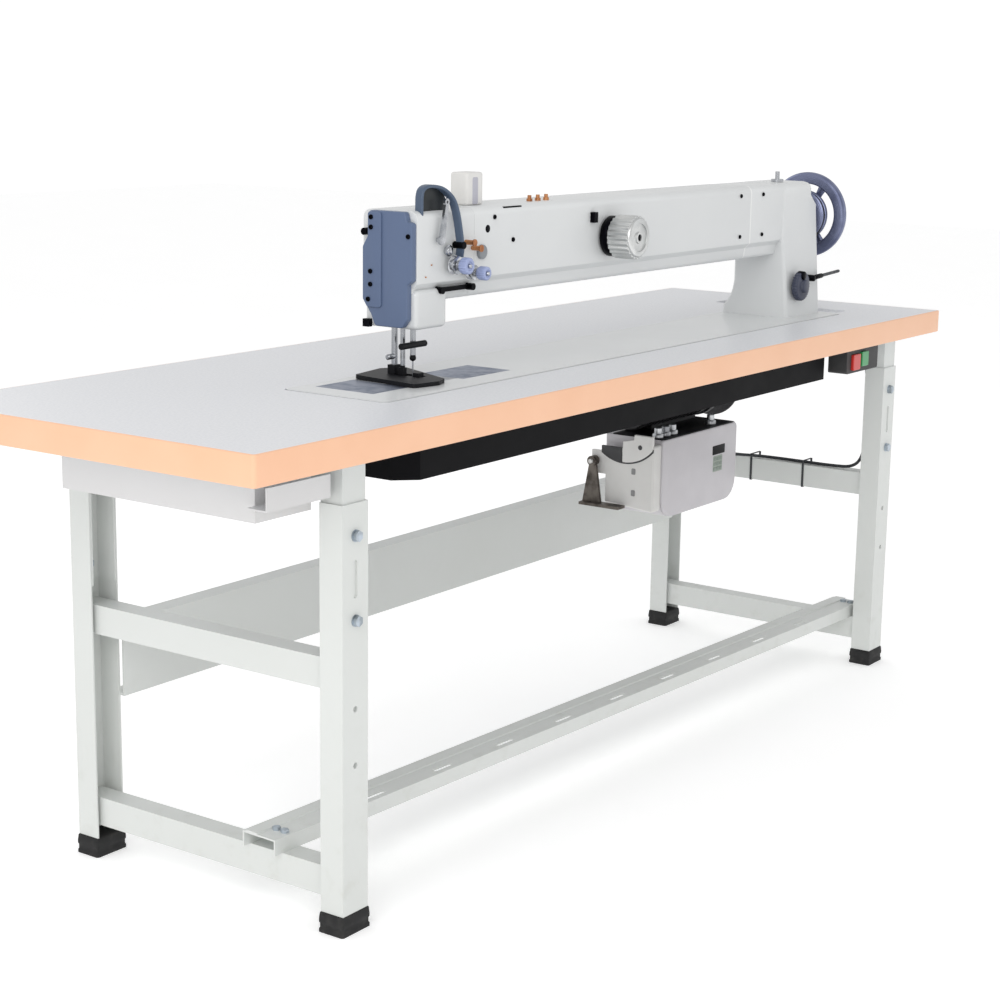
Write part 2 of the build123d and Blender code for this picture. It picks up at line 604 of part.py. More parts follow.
# Column: tapered pillar with the root of the arm, hollow, with a bearing wall for the main shaft.
with BuildPart() as column:
    with BuildSketch(Plane.YZ.offset(COLUMN_LEFT)):
        with BuildLine():
            Polyline(
                (-4, BED_TOP),
                (-138, BED_TOP),
                (HEAD_FRONT, 872),
                (HEAD_FRONT, ARM_TOP),
                (HEAD_BACK, ARM_TOP),
                (HEAD_BACK, 742),
                (-17, 712),
                (-4, 696),
                close=True,
            )
        make_face()
    extrude(amount=772 - COLUMN_LEFT)
    with BuildSketch(Plane.XZ.offset(-10)):
        with BuildLine():
            Polyline(
                (COLUMN_LEFT - 1, BED_TOP - 1),
                (765, BED_TOP - 1),
                (772, 878),
                (750, 897),
                (750, ARM_TOP + 1),
                (COLUMN_LEFT - 1, ARM_TOP + 1),
                close=True,
            )
        make_face()
    extrude(amount=160, mode=Mode.INTERSECT)
    with BuildSketch(Plane.YZ.offset(JOINT_X)):
        with BuildLine():
            Polyline(*ARM_OUTLINE, close=True)
        make_face()
    extrude(amount=COLUMN_LEFT + 20 - JOINT_X)
    fillet(column.edges().filter_by(Axis.X).group_by(Axis.Z)[-1], ARM_CORNER)
    span_box((JOINT_X, 742), (-106, -36), (806, 905), mode=Mode.SUBTRACT)
    span_box((COLUMN_LEFT + 10, 752), (-118, -36), (BED_TOP, 806), mode=Mode.SUBTRACT)
    rod((738, SHAFT_Y, SHAFT_Z), (1, 0, 0), SHAFT_R + RUN_GAP, 40, mode=Mode.SUBTRACT)
    for control_x, control_z in ((671, 737), (716, 748)):
        rod((control_x, -140, control_z), (0, 1, 0), 6 + RUN_GAP, 26, mode=Mode.SUBTRACT)
    rod((673, -87, 900), (0, 0, 1), 4 + RUN_GAP, 30, mode=Mode.SUBTRACT)
save(column, "column")

AUX_X = 55.0
AUX_Z = 861.0

# Arm: long hollow beam with a bearing wall at each end for the main shaft.
with BuildPart() as arm:
    with BuildSketch(Plane.YZ.offset(HEAD_RIGHT)):
        with BuildLine():
            Polyline(*ARM_OUTLINE, close=True)
        make_face()
    extrude(amount=JOINT_X - HEAD_RIGHT)
    fillet(arm.edges().filter_by(Axis.X).group_by(Axis.Z)[-1], ARM_CORNER)
    fillet(arm.edges().filter_by(Axis.X).group_by(Axis.Z)[0], 7)
    span_box((HEAD_RIGHT + 10, JOINT_X - 10), (-105, -34), (803, 911), mode=Mode.SUBTRACT)
    rod((HEAD_RIGHT, SHAFT_Y, SHAFT_Z), (1, 0, 0), SHAFT_R + RUN_GAP, 830, mode=Mode.SUBTRACT)
    rod((AUX_X, -125, AUX_Z), (0, 1, 0), 7 + RUN_GAP, 30, mode=Mode.SUBTRACT)
save(arm, "arm")

BARS = {"needle": (NEEDLE_Y, 4.0), "walking": (-66.0, 3.5), "presser": (-51.0, 4.5)}
TAKE_UP_PIVOT = (-388.0, 880.0)

# Needle head: hollow end casting, open to the left, with guides for the three bars.
with BuildPart() as needle_head:
    with BuildSketch(Plane.XZ.offset(-HEAD_BACK)):
        with BuildLine():
            Polyline(
                (HEAD_LEFT, HEAD_BOTTOM),
                (-367, HEAD_BOTTOM),
                (-359, ARM_UNDER),
                (HEAD_RIGHT, ARM_UNDER),
                (HEAD_RIGHT, ARM_TOP),
                (HEAD_LEFT, ARM_TOP),
                close=True,
            )
        make_face()
    extrude(amount=HEAD_BACK - HEAD_FRONT)
    fillet(needle_head.edges().filter_by(Axis.X).group_by(Axis.Z)[-1], ARM_CORNER)
    span_box((HEAD_LEFT, HEAD_RIGHT), (HEAD_FRONT, -112), (HEAD_BOTTOM, 821), mode=Mode.SUBTRACT)
    span_box((HEAD_LEFT, HEAD_RIGHT - 10), (-112, -43), (826, 911), mode=Mode.SUBTRACT)
    span_box((HEAD_LEFT, -372), (-104, -45), (780, 826), mode=Mode.SUBTRACT)
    for bar_y, bar_r in BARS.values():
        rod((NEEDLE_X, bar_y, HEAD_BOTTOM), (0, 0, 1), bar_r + RUN_GAP, 30, mode=Mode.SUBTRACT)
    rod((HEAD_RIGHT - 15, SHAFT_Y, SHAFT_Z), (1, 0, 0), SHAFT_R + RUN_GAP, 20, mode=Mode.SUBTRACT)
    with Locations(Plane((TAKE_UP_PIVOT[0], HEAD_FRONT, TAKE_UP_PIVOT[1]), z_dir=(0, 1, 0))):
        Cylinder(3 + RUN_GAP, 20, mode=Mode.SUBTRACT)
save(needle_head, "needle_head")

# Face plate: shaped cover over the open left end of the needle head.
FACE_OUTLINE = (
    (-119, 826),
    (-119, 905),
    (-110, 907),
    (-106, 920),
    (-42, 920),
    (-42, 886),
    (-33, 871),
    (-33, 795),
    (-47, 776),
    (-54, 760),
    (-102, 760),
    (-111, 772),
    (-111, 820),
)
with BuildPart() as face_plate:
    with BuildSketch(Plane.YZ.offset(HEAD_LEFT - 14)):
        with BuildLine():
            Polyline(*FACE_OUTLINE, close=True)
        make_face()
    extrude(amount=14)
    fillet(face_plate.edges().filter_by(Axis.X), 2.5)
    chamfer(face_plate.faces().sort_by(Axis.X)[0].edges(), 2)
    span_box((HEAD_LEFT - 14, HEAD_LEFT - 12), (-67.5, -64.5), (764, 914), mode=Mode.SUBTRACT)
save(face_plate, "face_plate")

# Head screws: slotted cheese-head screws on the face plate and the front of the head.
FACE_SCREWS = ((-50, 911), (-50, 897), (-49, 836), (-49, 818), (-45, 797), (-113, 887))
FRONT_SCREWS = ((-252, 905), (-205, 870), (480, 905), (480, 835), (560, 905), (560, 835))
FACE_SCREW_X = (HEAD_LEFT - 16.5, HEAD_LEFT - 15.5)
FRONT_SCREW_Y = (HEAD_FRONT - 2.5, HEAD_FRONT - 1.5)
with BuildPart() as head_screws:
    for screw_y, screw_z in FACE_SCREWS:
        slot_z = (screw_z - 0.5, screw_z + 0.5)
        rod((FACE_SCREW_X[0], screw_y, screw_z), (1, 0, 0), 3.5, 2.5)
        span_box(FACE_SCREW_X, (screw_y - 4, screw_y + 4), slot_z, mode=Mode.SUBTRACT)
    for screw_x, screw_z in FRONT_SCREWS:
        slot_z = (screw_z - 0.5, screw_z + 0.5)
        rod((screw_x, FRONT_SCREW_Y[0], screw_z), (0, 1, 0), 4, 2.5)
        span_box((screw_x - 4, screw_x + 4), FRONT_SCREW_Y, slot_z, mode=Mode.SUBTRACT)
save(head_screws, "head_screws")

# Take-up guard: thick moulded bow that arches over the take-up lever.
with BuildPart() as take_up_guard:
    with BuildSketch(Plane.XZ.offset(137)):
        with BuildLine():
            FilletPolyline(
                (-430, 896), (-429, 950), (-382, 955), (-345, 915), (-330, 858), radius=11
            )
        trace(line_width=8)
    extrude(amount=-17)
save(take_up_guard, "take_up_guard")

# Take-up lever: flat arm with an eye, rocking on a pin in the front of the head.
with BuildPart() as take_up_lever:
    with BuildSketch(Plane.XZ.offset(130)):
        with BuildLine():
            Polyline((-393, 880), (-381, 930), (-374, 930), (-383, 880), close=True)
        make_face()
        with Locations(TAKE_UP_PIVOT):
            Circle(7)
        with Locations((-378, 932)):
            Circle(5)
            Circle(2, mode=Mode.SUBTRACT)
    extrude(amount=-4)
    rod((TAKE_UP_PIVOT[0], -126, TAKE_UP_PIVOT[1]), (0, 1, 0), 3, 12)
save(take_up_lever, "take_up_lever")

# Needle bar: round bar with the clamp ball, the clamp rod and the needle, seen at mid stroke.
NEEDLE_TIP = 676.0
BALL_Z = 708.0
BAR_TOP = 886.0
with BuildPart() as needle_bar:
    rod((NEEDLE_X, NEEDLE_Y, BALL_Z), (0, 0, 1), 4.6, 9)
    fillet(needle_bar.edges().filter_by(GeomType.CIRCLE), 3.8)
    rod((NEEDLE_X, NEEDLE_Y, BALL_Z + 8), (0, 0, 1), BARS["needle"][1], BAR_TOP - BALL_Z - 8)
    rod((-430, NEEDLE_Y - 6, 732), (1, 0, 0), 4.5, 55)
    rod((NEEDLE_X, NEEDLE_Y, NEEDLE_TIP + 7), (0, 0, 1), 1.1, BALL_Z - NEEDLE_TIP - 6)
    with Locations((NEEDLE_X, NEEDLE_Y, NEEDLE_TIP + 4)):
        Cone(0.3, 1.1, 8)
save(needle_bar, "needle_bar")

# Walking foot: inner bar with a narrow toe round the needle.
SOLE = (681.4, 687.0)
with BuildPart() as walking_foot:
    rod((NEEDLE_X, BARS["walking"][0], 690), (0, 0, 1), BARS["walking"][1], BAR_TOP - 690)
    span_box((-399, -391), (-70, -61.5), (SOLE[0], 697))
    span_box((-400.5, -389.5), (-97, -61.5), (SOLE[0], 685))
    span_box((-400.5, -388), (-98, -89), (SOLE[0], 692))
    chamfer(walking_foot.edges().filter_by(Axis.X).group_by(Axis.Y)[0], 1)
    rod((NEEDLE_X, NEEDLE_Y, 680), (0, 0, 1), 2.4, 8, mode=Mode.SUBTRACT)
save(walking_foot, "walking_foot")

# Presser foot: outer bar, collar and a broad sole with a window for the walking foot.
with BuildPart() as presser_foot:
    with BuildSketch(Plane.XY.offset(SOLE[0])) as sole:
        with BuildLine():
            Polyline(
                (-440, -15), (-458, -135), (-412, -144), (-387, -135), (-334, -22), (-368, -3), close=True
            )
        make_face()
        fillet(sole.vertices(), 7)
        with Locations((NEEDLE_X, -79.5)):
            Rectangle(20, 45, mode=Mode.SUBTRACT)
    extrude(amount=SOLE[1] - SOLE[0])
    span_box((-402, -388), (-56.5, -44), (SOLE[1] - 2, 700))
    rod((NEEDLE_X, BARS["presser"][0], 696), (0, 0, 1), BARS["presser"][1], BAR_TOP + 2 - 696)
    rod((-412, BARS["presser"][0], 712), (1, 0, 0), 4, 15)
    chamfer(presser_foot.faces().filter_by(Axis.X).sort_by(Axis.X)[0].edges(), 1.2)
save(presser_foot, "presser_foot")

# Upper and lower tension: knurled dials on threaded posts.
TENSION = {
    "upper_tension_dial": (-360.0, 844.0, 11.0, 14.0),
    "lower_tension_dial": (-320.0, 831.0, 9.0, 16.0),
}
for name, (dial_x, dial_z, dial_r, dial_length) in TENSION.items():
    with BuildPart() as tension_dial:
        rod((dial_x, -143 - dial_length, dial_z), (0, 1, 0), dial_r, dial_length)
        for rib_angle in range(0, 360, 20):
            rib_x = dial_x + dial_r * cos(radians(rib_angle))
            rib_z = dial_z + dial_r * sin(radians(rib_angle))
            rod((rib_x, -141 - dial_length, rib_z), (0, 1, 0), 0.8, dial_length - 3)
        rod((dial_x, -143 - dial_length, dial_z), (0, 1, 0), 3 + RUN_GAP, dial_length, mode=Mode.SUBTRACT)
    save(tension_dial, name)

# Tension block: the posts and disc pairs of the two tensions and the steel guides near them.
with BuildPart() as tension_block:
    for dial_x, dial_z, dial_r, dial_length in TENSION.values():
        rod((dial_x, -145 - dial_length, dial_z), (0, 1, 0), 3, 25 + dial_length)
        rod((dial_x, -124, dial_z), (0, 1, 0), dial_r + 1, 4)
        rod((dial_x, -131, dial_z), (0, 1, 0), dial_r - 1, 3)
        rod((dial_x, -135, dial_z), (0, 1, 0), dial_r - 1, 3)
    rod((-367, -129, 864), (0, 1, 0), 8, 9)
    for guide_x, guide_z, guide_r, guide_length in ((-284, 857, 10.5, 5), (-268, 889, 6, 4)):
        rod((guide_x, HEAD_FRONT - guide_length, guide_z), (0, 1, 0), guide_r, guide_length)
save(tension_block, "tension_block")

# Tension levers: blackened linkage and release knob on the head, with the lifter's tip and knob.
with BuildPart() as tension_levers:
    span_box((-378, -306), (-118, -112), (806, 812))
    rod((-348, -138, 871), (0, 1, 0), 5, 18)
    for pin_x in (-378, -306):
        rod((pin_x, -124, 809), (0, 1, 0), 5, 12)
    span_box((2, 12), (-128, HEAD_FRONT), (884, 900))
    rod((HEAD_LEFT - 11, -34, 890), (1, 0, 0), 5, 11)
    span_box((HEAD_LEFT - 8, HEAD_LEFT), (-41, -30), (HEAD_BOTTOM, 768))
save(tension_levers, "tension_levers")

# Thread guides: brass posts beside the tensions and on top of the arm.
with BuildPart() as thread_guides:
    for post_x, post_z in ((-321, 873), (-305, 864)):
        rod((post_x, -136, post_z), (0, 1, 0), 3.5, 16)
        rod((post_x, -137, post_z), (0, 1, 0), 5, 2)
    for post_x in (-128, -106, -84):
        rod((post_x, -95, ARM_TOP), (0, 0, 1), 4.5, 4)
        rod((post_x, -95, ARM_TOP + 4), (0, 0, 1), 3, 5)
    for ring_x, ring_z in ((-401, 846), (-414, 830)):
        with Locations((ring_x, -126, ring_z)):
            Torus(4.5, 1)
        rod((ring_x, -121.6, ring_z), (0, 1, 0), 1, 1.6)
save(thread_guides, "thread_guides")

# Thread box: tall white oiler box on top of the arm.
with BuildPart() as thread_box:
    span_box((-284, -244), (-95, -62), (ARM_TOP, 968))
    fillet(thread_box.edges().filter_by(Axis.Z), 5)
    fillet(thread_box.faces().sort_by(Axis.Z)[-1].edges(), 3)
save(thread_box, "thread_box")

# Bobbin winder: small spindle with a drive wheel on top of the column.
with BuildPart() as bobbin_winder:
    rod((673, -87, ARM_TOP + 0.6), (0, 0, 1), 11, 5)
    rod((673, -87, ARM_TOP - 10), (0, 0, 1), 4, 29)
save(bobbin_winder, "bobbin_winder")

# Auxiliary wheel: ribbed turning knob on the front of the arm, with its short shaft.
with BuildPart() as aux_wheel:
    rod((AUX_X, -178, AUX_Z), (0, 1, 0), 32, 43)
    for rib_angle in range(0, 360, 15):
        rib_x = AUX_X + 32 * cos(radians(rib_angle))
        rib_z = AUX_Z + 32 * sin(radians(rib_angle))
        rod((rib_x, -176, rib_z), (0, 1, 0), 2.2, 40)
    rod((AUX_X, -135, AUX_Z), (0, 1, 0), 31, 13)
    rod((AUX_X, -122, AUX_Z), (0, 1, 0), 7, 28)
    rod((AUX_X, -178, AUX_Z), (0, 1, 0), 22, 3, mode=Mode.SUBTRACT)
    rod((AUX_X, -178, AUX_Z), (0, 1, 0), 5, 20, mode=Mode.SUBTRACT)
save(aux_wheel, "aux_wheel")

# Main shaft: from the crank in the needle head to the handwheel.
with BuildPart() as arm_shaft:
    rod((-370, SHAFT_Y, SHAFT_Z), (1, 0, 0), SHAFT_R, 1208)
    rod((-378, SHAFT_Y, SHAFT_Z), (1, 0, 0), 20, 10)
    rod((-384, SHAFT_Y, SHAFT_Z + 13), (1, 0, 0), 3.5, 8)
    for collar_x in (HEAD_RIGHT - 20, 60, 725):
        rod((collar_x, SHAFT_Y, SHAFT_Z), (1, 0, 0), 15, 8)
save(arm_shaft, "arm_shaft")

# Handwheel: turned rim on three spokes, with the belt pulley in one piece with its hub.
WHEEL_X = (814.0, 832.0)
RIM = (57.0, 79.0)
with BuildPart() as handwheel:
    with BuildSketch(Plane.XY.offset(SHAFT_Z)):
        with Locations((sum(WHEEL_X) / 2, SHAFT_Y + sum(RIM) / 2)):
            RectangleRounded(WHEEL_X[1] - WHEEL_X[0], RIM[1] - RIM[0], 5)
    revolve(axis=Axis((0, SHAFT_Y, SHAFT_Z), (1, 0, 0)))
    for spoke_angle in (0, 120, 240):
        spoke_way = (0, cos(radians(spoke_angle)), sin(radians(spoke_angle)))
        rod((sum(WHEEL_X) / 2, SHAFT_Y, SHAFT_Z), spoke_way, 6, RIM[0] + 4)
    rod((782, SHAFT_Y, SHAFT_Z), (1, 0, 0), 18, 56)
    rod((BELT_X - 8, SHAFT_Y, SHAFT_Z), (1, 0, 0), WHEEL_PULLEY_R + 8, 20)
    with BuildSketch(Plane.YZ.offset(BELT_X - 5)):
        with Locations((SHAFT_Y, SHAFT_Z)):
            Circle(WHEEL_PULLEY_R + 10)
            Circle(WHEEL_PULLEY_R, mode=Mode.SUBTRACT)
    extrude(amount=10, mode=Mode.SUBTRACT)
    rod((780, SHAFT_Y, SHAFT_Z), (1, 0, 0), SHAFT_R, 60, mode=Mode.SUBTRACT)
save(handwheel, "handwheel")

# Stitch dial: numbered wheel on the front of the column.
with BuildPart() as stitch_dial:
    rod((671, -151, 737), (0, 1, 0), 27, 12)
    chamfer(stitch_dial.faces().sort_by(Axis.Y)[0].edges(), 2)
    rod((671, -157, 737), (0, 1, 0), 12, 8)
    rod((671, -141, 737), (0, 1, 0), 6, 22)
save(stitch_dial, "stitch_dial")

# Reverse lever: small hub and long round handle on the front of the column.
with BuildPart() as reverse_lever:
    rod((716, -150, 748), (0, 1, 0), 6, 12)
    rod((716, -144, 748), (1, 0, 0.05), 3.2, 112)
    rod((724, -144, 748.4), (1, 0, 0.05), 4.5, 34)
    rod((716, -141, 748), (0, 1, 0), 6, 20)
save(reverse_lever, "reverse_lever")
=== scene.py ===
import bmesh
import bpy
import numpy as np
from mathutils import Matrix, Vector


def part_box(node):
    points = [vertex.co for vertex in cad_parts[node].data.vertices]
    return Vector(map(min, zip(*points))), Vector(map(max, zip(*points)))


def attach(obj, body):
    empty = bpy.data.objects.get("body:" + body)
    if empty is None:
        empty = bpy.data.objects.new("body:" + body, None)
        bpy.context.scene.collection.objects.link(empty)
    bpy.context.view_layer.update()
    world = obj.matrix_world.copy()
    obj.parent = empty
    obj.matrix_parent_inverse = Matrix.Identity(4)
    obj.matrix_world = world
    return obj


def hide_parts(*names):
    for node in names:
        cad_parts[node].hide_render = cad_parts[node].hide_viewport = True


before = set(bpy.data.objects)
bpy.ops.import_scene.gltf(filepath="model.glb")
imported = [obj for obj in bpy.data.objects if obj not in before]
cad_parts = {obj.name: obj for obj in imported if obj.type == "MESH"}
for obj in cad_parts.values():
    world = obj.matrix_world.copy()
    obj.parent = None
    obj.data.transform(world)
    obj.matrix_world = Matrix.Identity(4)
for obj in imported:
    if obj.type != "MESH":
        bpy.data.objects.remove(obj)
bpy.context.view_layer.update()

# ---- Camera, lights and floor ----
# The machine is seen from the needle end, a little above the table, in a plain white room
# with one broad window light on the left, a soft fill and a soft light from behind.

CAMERA_PLACE = (-2.6346, -1.8249, 1.1109)
HEADING, TILT, ROLL = np.radians((54.69, -11.992, 0.858))
FOCAL_LENGTH = 72.74
SENSOR_WIDTH = 36.0
VIEW_REACH = 60.0

ahead = Vector((np.sin(HEADING) * np.cos(TILT), np.cos(HEADING) * np.cos(TILT), np.sin(TILT)))
level = Vector((np.cos(HEADING), -np.sin(HEADING), 0.0))
upright = level.cross(ahead)
sideways = np.cos(ROLL) * level + np.sin(ROLL) * upright
upwards = -np.sin(ROLL) * level + np.cos(ROLL) * upright
camera = bpy.data.objects.new("camera", bpy.data.cameras.new("camera"))
camera.data.lens = FOCAL_LENGTH
camera.data.sensor_width = SENSOR_WIDTH
camera.data.clip_end = VIEW_REACH
camera_turn = Matrix((sideways, upwards, -ahead)).transposed().to_4x4()
camera.matrix_world = Matrix.Translation(CAMERA_PLACE) @ camera_turn
bpy.context.collection.objects.link(camera)
bpy.context.scene.camera = camera


def area_light(name, place, target, size, power, colour):
    """Square soft light at a place, turned towards a target."""
    light = bpy.data.lights.new(name, "AREA")
    light.size = size
    light.energy = power
    light.color = colour
    holder = bpy.data.objects.new(name, light)
    direction = Vector(target) - Vector(place)
    aim = direction.to_track_quat("-Z", "Y").to_matrix().to_4x4()
    holder.matrix_world = Matrix.Translation(place) @ aim
    bpy.context.collection.objects.link(holder)


area_light("window_light", (-3.6, -1.6, 2.6), (0.0, 0.0, 0.7), 3.0, 60.0, (1.0, 0.99, 0.98))
area_light("fill_light", (3.2, -2.6, 2.2), (0.3, 0.0, 0.6), 2.4, 8.0, (0.95, 0.97, 1.0))
area_light("back_light", (0.6, 3.2, 2.6), (0.0, 0.0, 0.7), 2.6, 14.0, (1.0, 1.0, 1.0))
ROOM_LIGHT = 0.74
ROOM_WALLS = 1.05
world = bpy.data.worlds.new("white_room")
world.use_nodes = True
room = world.node_tree
lit, seen = room.nodes["Background"], room.nodes.new("ShaderNodeBackground")
for background, strength in ((lit, ROOM_LIGHT), (seen, ROOM_WALLS)):
    background.inputs["Color"].default_value = (1.0, 1.0, 1.0, 1.0)
    background.inputs["Strength"].default_value = strength
wall_mix = room.nodes.new("ShaderNodeMixShader")
room.links.new(room.nodes.new("ShaderNodeLightPath").outputs["Is Camera Ray"], wall_mix.inputs[0])
room.links.new(lit.outputs[0], wall_mix.inputs[1])
room.links.new(seen.outputs[0], wall_mix.inputs[2])
room.links.new(wall_mix.outputs[0], room.nodes["World Output"].inputs["Surface"])
bpy.context.scene.world = world
bpy.context.scene.view_settings.view_transform = "Standard"


def tint(red, green, blue):
    """Colour given as display values from 0 to 255, turned into linear light."""
    shown = np.array((red, green, blue)) / 255.0
    linear = np.where(shown <= 0.04045, shown / 12.92, ((shown + 0.055) / 1.055) ** 2.4)
    return (*linear.tolist(), 1.0)


class Field:
    """A shader socket that takes part in sums: each operator adds one Math node."""

    def __init__(self, finish, socket):
        self.finish = finish
        self.socket = socket

    def __add__(self, other):
        return self.finish.maths("ADD", self, other)

    def __sub__(self, other):
        return self.finish.maths("SUBTRACT", self, other)

    def __rsub__(self, other):
        return self.finish.maths("SUBTRACT", other, self)

    def __mul__(self, other):
        return self.finish.maths("MULTIPLY", self, other)

    __radd__ = __add__
    __rmul__ = __mul__


class Finish:
    """A material being mixed: one principled shader with the fields that feed it."""

    def __init__(self, name, **sockets):
        self.material = bpy.data.materials.new(name)
        self.material.use_nodes = True
        self.tree = self.material.node_tree
        self.tree.nodes.clear()
        self.shader = self.tree.nodes.new("ShaderNodeBsdfPrincipled")
        output = self.tree.nodes.new("ShaderNodeOutputMaterial")
        self.tree.links.new(self.shader.outputs[0], output.inputs[0])
        self.place = self.node("TexCoord", {}, {}, "Object")
        self.set(**sockets)

    def node(self, kind, settings, sockets, output=0):
        """Adds any node: its settings first, then the values or links of its sockets."""
        node = self.tree.nodes.new("ShaderNode" + kind)
        stops = settings.pop("stops", ())
        for key, value in settings.items():
            setattr(node, key, value)
        for index, (position, colour) in enumerate(stops):
            if index > 1:
                node.color_ramp.elements.new(position)
            node.color_ramp.elements[index].position = position
            node.color_ramp.elements[index].color = colour
        for key, value in sockets.items():
            if isinstance(value, Field):
                self.tree.links.new(value.socket, node.inputs[key])
            else:
                node.inputs[key].default_value = value
        return Field(self, node.outputs[output])

    def maths(self, operation, first, second=0.0):
        return self.node("Math", {"operation": operation}, {0: first, 1: second})

    def mix(self, factor, first, second):
        """Colour between two colours."""
        return self.node("Mix", {"data_type": "RGBA"}, {0: factor, 6: first, 7: second}, 2)

    def noise(self, scale, detail=2.0, place=None):
        """Cloudy field from 0 to 1 on the piece's own coordinates."""
        sockets = {"Vector": place or self.place, "Scale": scale, "Detail": detail}
        return self.node("TexNoise", {}, sockets)

    def ramp(self, value, low, high):
        """0 below low, 1 above high, smooth between."""
        sockets = {"Value": value, "From Min": low, "From Max": high}
        return self.node("MapRange", {"interpolation_type": "SMOOTHSTEP"}, sockets)

    def axis(self, name):
        """One coordinate of the place."""
        return self.node("SeparateXYZ", {}, {0: self.place}, name)

    def stretch(self, x, y, z):
        """The place scaled unevenly, for grain that runs along one direction."""
        return self.node("Mapping", {}, {"Vector": self.place, "Scale": (x, y, z)})

    def bump(self, height, depth, strength=1.0):
        """Relief of the given depth in metres."""
        sockets = {"Height": height, "Distance": depth, "Strength": strength}
        self.set(Normal=self.node("Bump", {}, sockets))

    def set(self, **sockets):
        """Values or fields for the shader's sockets, with _ for a space in each name."""
        for key, value in sockets.items():
            socket = self.shader.inputs[key.replace("_", " ")]
            if isinstance(value, Field):
                self.tree.links.new(value.socket, socket)
            else:
                socket.default_value = value
        return self


FLOOR_GLOW = 0.28
floor_finish = Finish("floor_white", Roughness=0.85, Emission_Strength=FLOOR_GLOW)
floor_finish.set(Emission_Color=(1.0, 1.0, 1.0, 1.0))
floor_cloud = floor_finish.noise(3.0)
floor_finish.set(Base_Color=floor_finish.mix(floor_cloud, tint(248, 248, 248), tint(252, 252, 252)))
floor_mesh = bpy.data.meshes.new("floor")
FLOOR_REACH = 12.0
floor_mesh.from_pydata(
    [(x * FLOOR_REACH, y * FLOOR_REACH, 0) for x, y in ((-1, -1), (1, -1), (1, 1), (-1, 1))],
    [],
    [(0, 1, 2, 3)],
)
floor = bpy.data.objects.new("floor", floor_mesh)
floor_mesh.materials.append(floor_finish.material)
bpy.context.collection.objects.link(floor)

# ---- Stand ----
# Folded sheet channels and tubes, welded, and powder coated in a pale grey-white. The
# coat has a fine orange-peel skin and holds a little dust low down.


def dress(finish, *nodes):
    """Gives carried-over nodes a finish."""
    for node in nodes:
        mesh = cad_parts[node].data
        mesh.materials.clear()
        mesh.materials.append(finish.material)


def powder_coat(name, clean, dusty):
    """Powder coat: base colour drifting slightly, duller and darker towards the floor, fine peel."""
    coat = Finish(name, Coat_Weight=0.15, Coat_Roughness=0.25)
    drift = coat.noise(5.0, 4.0)
    low = 1.0 - coat.ramp(coat.axis("Z"), 0.02, 0.35)
    grime = coat.ramp(coat.noise(38.0, 6.0), 0.52, 0.78)
    coat.set(Base_Color=coat.mix(drift * 0.25 + grime * 0.22 * low, clean, dusty))
    coat.set(Roughness=0.36 + drift * 0.12 + grime * 0.1)
    coat.bump(coat.noise(1100.0, 2.0), 0.00012, 0.5)
    return coat


stand_coat = powder_coat("stand_powder_coat", tint(217, 220, 218), tint(188, 189, 180))
dress(
    stand_coat,
    *(f"{end}_{side}_leg" for end in ("front", "rear") for side in ("left", "right")),
    *(f"{side}_{part}" for side in ("left", "right") for part in ("upper_frame", "mid_rail", "lower_rail")),
    "rear_beam",
    "foot_bar",
)


def grid_faces(rows, columns, wrap_rows):
    """Quads over a grid whose columns wrap round, as index arrays."""
    row = np.arange(rows if wrap_rows else rows - 1)[:, None]
    column = np.arange(columns)[None, :]
    after = (row + 1) % rows
    beside = (column + 1) % columns
    here, there = row * columns, after * columns
    corners = (here + column, here + beside, there + beside, there + column)
    return np.stack(corners, axis=-1).reshape(-1, 4)


def skin(name, grid, finish, body="machine", wrap_rows=False, capped=True, smooth=50.0):
    """Closed skin over rings of points: grid[row, column] is a place, the columns wrap round,
    and flat faces close the first and last ring unless the rows wrap too."""
    rows, columns, _ = grid.shape
    faces = grid_faces(rows, columns, wrap_rows).tolist()
    if capped and not wrap_rows:
        faces.append(list(range(columns))[::-1])
        faces.append(list(range((rows - 1) * columns, rows * columns)))
    mesh = bpy.data.meshes.new(name)
    mesh.from_pydata(grid.reshape(-1, 3).tolist(), [], faces)
    shape = bmesh.new()
    shape.from_mesh(mesh)
    bmesh.ops.remove_doubles(shape, verts=shape.verts, dist=1e-6)
    bmesh.ops.recalc_face_normals(shape, faces=shape.faces)
    shape.to_mesh(mesh)
    shape.free()
    mesh.shade_smooth()
    mesh.set_sharp_from_angle(angle=np.radians(smooth))
    mesh.materials.append(finish.material)
    piece = bpy.data.objects.new(name, mesh)
    bpy.context.collection.objects.link(piece)
    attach(piece, body)
    return piece


AXES = {"X": np.array((1.0, 0, 0)), "Y": np.array((0, 1.0, 0)), "Z": np.array((0, 0, 1.0))}


def frame_of(axis):
    """Two directions square to an axis, in right-handed order."""
    order = {"X": ("Y", "Z"), "Y": ("Z", "X"), "Z": ("X", "Y")}[axis]
    return AXES[order[0]], AXES[order[1]]


def turned(name, outline, centre, axis, finish, body="machine", turns=64, flutes=(0, 0.0), ring=False):
    """Turned surface: each (along, radius) pair of the outline swings once round the axis,
    place = centre + along * axis + radius * (1 + depth * cos(count * angle)) * (cos, sin) of the angle."""
    along, radius = np.array(outline, dtype=float).T
    angle = np.linspace(0.0, 2.0 * np.pi, turns, endpoint=False)
    count, depth = flutes
    first, second = frame_of(axis)
    swell = 1.0 + depth * np.cos(count * angle)
    spoke = np.cos(angle)[:, None] * first + np.sin(angle)[:, None] * second
    grid = along[:, None, None] * AXES[axis] + (radius[:, None] * swell)[..., None] * spoke
    return skin(name, grid + np.array(centre), finish, body, wrap_rows=ring)


